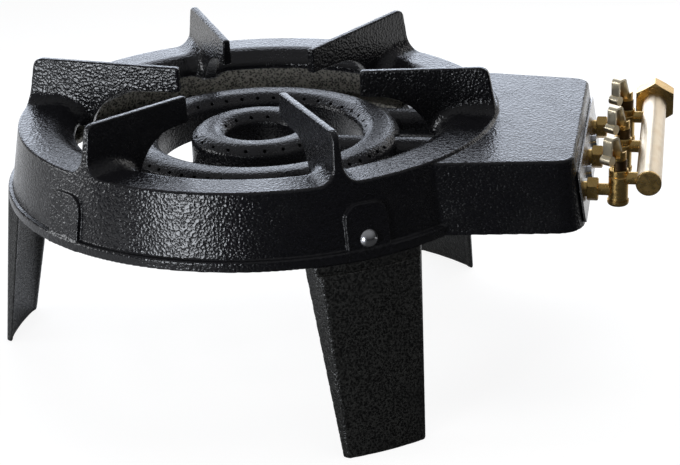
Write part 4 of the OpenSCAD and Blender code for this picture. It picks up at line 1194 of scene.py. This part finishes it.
@dataclass(frozen=True)
class Studio:
    """Camera, floor, lamps and surroundings.

    Attributes:
        azimuth, elevation, roll: the camera's angles, in degrees.
        camera: place of the camera, in metres.
        focal_px: focal length, in pixels of the image.
        sensor_w: width of the camera's sensor, in millimetres.
        view_end: farthest distance that the camera sees, in metres.
        floor_half: half of the floor's width, in metres.
        pale, dim: colours of the floor, and of what gloss mirrors of its front.
        glow: strength of the floor's own light.
        seen_glow, mirrored_glow: shares of that light for the camera and for gloss.
        sky: colour of the surroundings.
    """

    azimuth: float = 10.809
    elevation: float = 22.45
    roll: float = -2.075
    camera: Place = (0.34834, -1.48205, 0.72466)
    focal_px: float = 1910.06
    sensor_w: float = 36.0
    view_end: float = 50.0
    floor_half: float = 9.0
    pale: Colour = (0.8, 0.8, 0.8)
    dim: Colour = (0.07, 0.07, 0.07)
    glow: float = 1.17
    seen_glow: float = 0.75
    mirrored_glow: float = 0.6
    sky: Colour = (0.97, 0.98, 1.0)

    def add_camera(self) -> None:
        """Adds the camera: back axis from the two angles, right and up axes turned by the roll."""
        back = Vector((
            sine(self.azimuth) * cosine(self.elevation),
            -cosine(self.azimuth) * cosine(self.elevation),
            sine(self.elevation),
        ))
        level = Vector((cosine(self.azimuth), sine(self.azimuth), 0.0))
        above = back.cross(level)
        right = level * cosine(self.roll) + above * sine(self.roll)
        up = above * cosine(self.roll) - level * sine(self.roll)
        data = bpy.data.cameras.new("camera")
        data.sensor_fit = "HORIZONTAL"
        data.sensor_width = self.sensor_w
        data.lens = self.focal_px * data.sensor_width / IMAGE_W
        data.clip_end = self.view_end
        eye = bpy.data.objects.new("camera", data)
        eye.matrix_world = Matrix.Translation(self.camera) @ Matrix((right, up, back)).transposed().to_4x4()
        bpy.context.scene.collection.objects.link(eye)
        bpy.context.scene.camera = eye

    def floor_material(self) -> bpy.types.Material:
        """Builds the floor's material.

        Returns:
            A pale material that keeps a soft shadow; gloss mirrors it white behind and grey before.
        """
        made = bpy.data.materials.new("floor")
        tree = Tree(made)
        ray = tree.add("ShaderNodeLightPath").outputs
        place = tree.add("ShaderNodeTexCoord").outputs["Object"]
        axes = tree.add("ShaderNodeSeparateXYZ", {"Vector": place}).outputs
        back = tree.span(axes["Y"], 0.1, 0.6)
        lit = tree.math("MAXIMUM", back, tree.span(axes["X"], -0.25, 0.1, 0.8, 0.0))
        colour = tree.mix(ray["Is Glossy Ray"], self.pale, tree.mix(lit, self.dim, self.pale))
        bright = tree.math("MULTIPLY", back, self.mirrored_glow)
        mirrored = tree.math("MULTIPLY", ray["Is Glossy Ray"], bright)
        seen = tree.math("MULTIPLY", ray["Is Camera Ray"], self.seen_glow)
        share = tree.math("MAXIMUM", seen, mirrored)
        matt = tree.add("ShaderNodeBsdfDiffuse", {"Color": colour})
        glow = tree.add("ShaderNodeEmission", {"Color": (1.0, 1.0, 1.0, 1.0), "Strength": self.glow})
        both = tree.add("ShaderNodeMixShader", {0: share, 1: matt.outputs[0], 2: glow.outputs[0]})
        tree.add("ShaderNodeOutputMaterial", {"Surface": both.outputs[0]})
        return made

    def add_floor(self) -> None:
        """Adds a wide pale floor."""
        half = self.floor_half
        mesh = bpy.data.meshes.new("floor")
        corners = [(-half, -half, 0), (half, -half, 0), (half, half, 0), (-half, half, 0)]
        mesh.from_pydata(corners, [], [(0, 1, 2, 3)])
        mesh.materials.append(self.floor_material())
        floor = bpy.data.objects.new("floor", mesh)
        bpy.context.scene.collection.objects.link(floor)

    def add_world(self) -> None:
        """Adds dim surroundings that are lighter above and at the left."""
        world = bpy.data.worlds.new("studio")
        bpy.context.scene.world = world
        tree = Tree(world)
        way = tree.add("ShaderNodeTexCoord").outputs["Generated"]
        axes = tree.add("ShaderNodeSeparateXYZ", {"Vector": way}).outputs
        rise = tree.span(axes["Z"], 0.1, 0.9, 0.03, 0.22)
        side = tree.span(axes["X"], -1.0, -0.2, 0.12, 0.0)
        inputs = {"Color": (*self.sky, 1.0), "Strength": tree.math("ADD", rise, side)}
        sky = tree.add("ShaderNodeBackground", inputs)
        tree.add("ShaderNodeOutputWorld", {"Surface": sky.outputs[0]})

    def build(self) -> None:
        """Sets up the whole studio."""
        bpy.context.scene.view_settings.view_transform = "Standard"
        self.add_camera()
        self.add_floor()
        self.add_world()
        for lamp in LAMPS:
            lamp.build()


OUTER_BURNER = BurnerCasting(
    "outer_burner", hole_r=86.0, rim_r=118.0, crest_z=195.0, ports=(60, 40), gaps=(10.0, 12.0),
    tubes=(-73.0, 73.0), ears=(-55.0, 55.0), tube_from=90.0, arch=True,
)
INNER_BURNER = BurnerCasting(
    "inner_burner", hole_r=28.5, rim_r=58.0, crest_z=197.0, ports=(22, 14), gaps=(0.0, 0.0),
    tubes=(0.0,), ears=(18.0,), tube_from=32.5, arch=False,
)


def fittings() -> List[RoundedPieces]:
    """Lists the steel and brass pieces that keep their CAD shape.

    Returns:
        Groups of pieces, first those of the whole burner and then those of each tap.
    """
    fasteners = ["bar_screws", "burner_bolts", "leg_bolts", "leg_washers", "leg_nuts", "end_plate_screws"]
    groups = [
        RoundedPieces(["burner_strap", "tube_bar"], STRAP_PAINT, "support_steel"),
        RoundedPieces(["end_plate"], SHEET, "bright_steel", edge=0.25 * MM),
        RoundedPieces(fasteners, ZINC, "zinc_steel", edge=0.3 * MM),
        RoundedPieces(["gas_rail"], RAIL_BRASS_PAINTED_HIGHLIGHT, "polished_brass"),
        RoundedPieces(["rail_plug", "inlet_union"], BRASS, "polished_brass"),
    ]
    for tap in Tap:
        end = tap.value
        fixed = [f"injector_{end}", f"injector_nut_{end}", f"tap_body_{end}", f"tap_cap_{end}"]
        groups += [
            RoundedPieces(fixed, BRASS, "polished_brass", edge=0.3 * MM),
            RoundedPieces([f"tap_plug_{end}"], BRASS, "polished_brass", tap.body, edge=0.3 * MM),
            # The collar's dark brass is painted shade of the tap's neck.
            RoundedPieces([f"tap_collar_{end}"], COLLAR_BRASS_PAINTED_SHADE, "dark_brass", tap.body, edge=0.3 * MM),
            RoundedPieces([f"tap_lever_{end}"], LEVER_BRASS_PAINTED_HIGHLIGHT, "lever_brass", tap.body, edge=0.3 * MM),
            RoundedPieces([f"lever_screw_{end}"], ZINC, "zinc_steel", tap.body, edge=0.2 * MM),
        ]
    return groups


def main() -> None:
    """Builds the studio and every piece of the burner, in order."""
    Studio().build()
    finishes = {finish.name: finish.material() for finish in FINISHES}
    RingCasting().build(finishes)
    for place in LegPlace:
        Leg(place).build(finishes)
    for burner in (OUTER_BURNER, INNER_BURNER):
        burner.build(finishes)
    for group in fittings():
        group.build(finishes)


if __name__ == "__main__":
    logging.basicConfig(level=logging.INFO)
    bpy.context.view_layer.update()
    main()
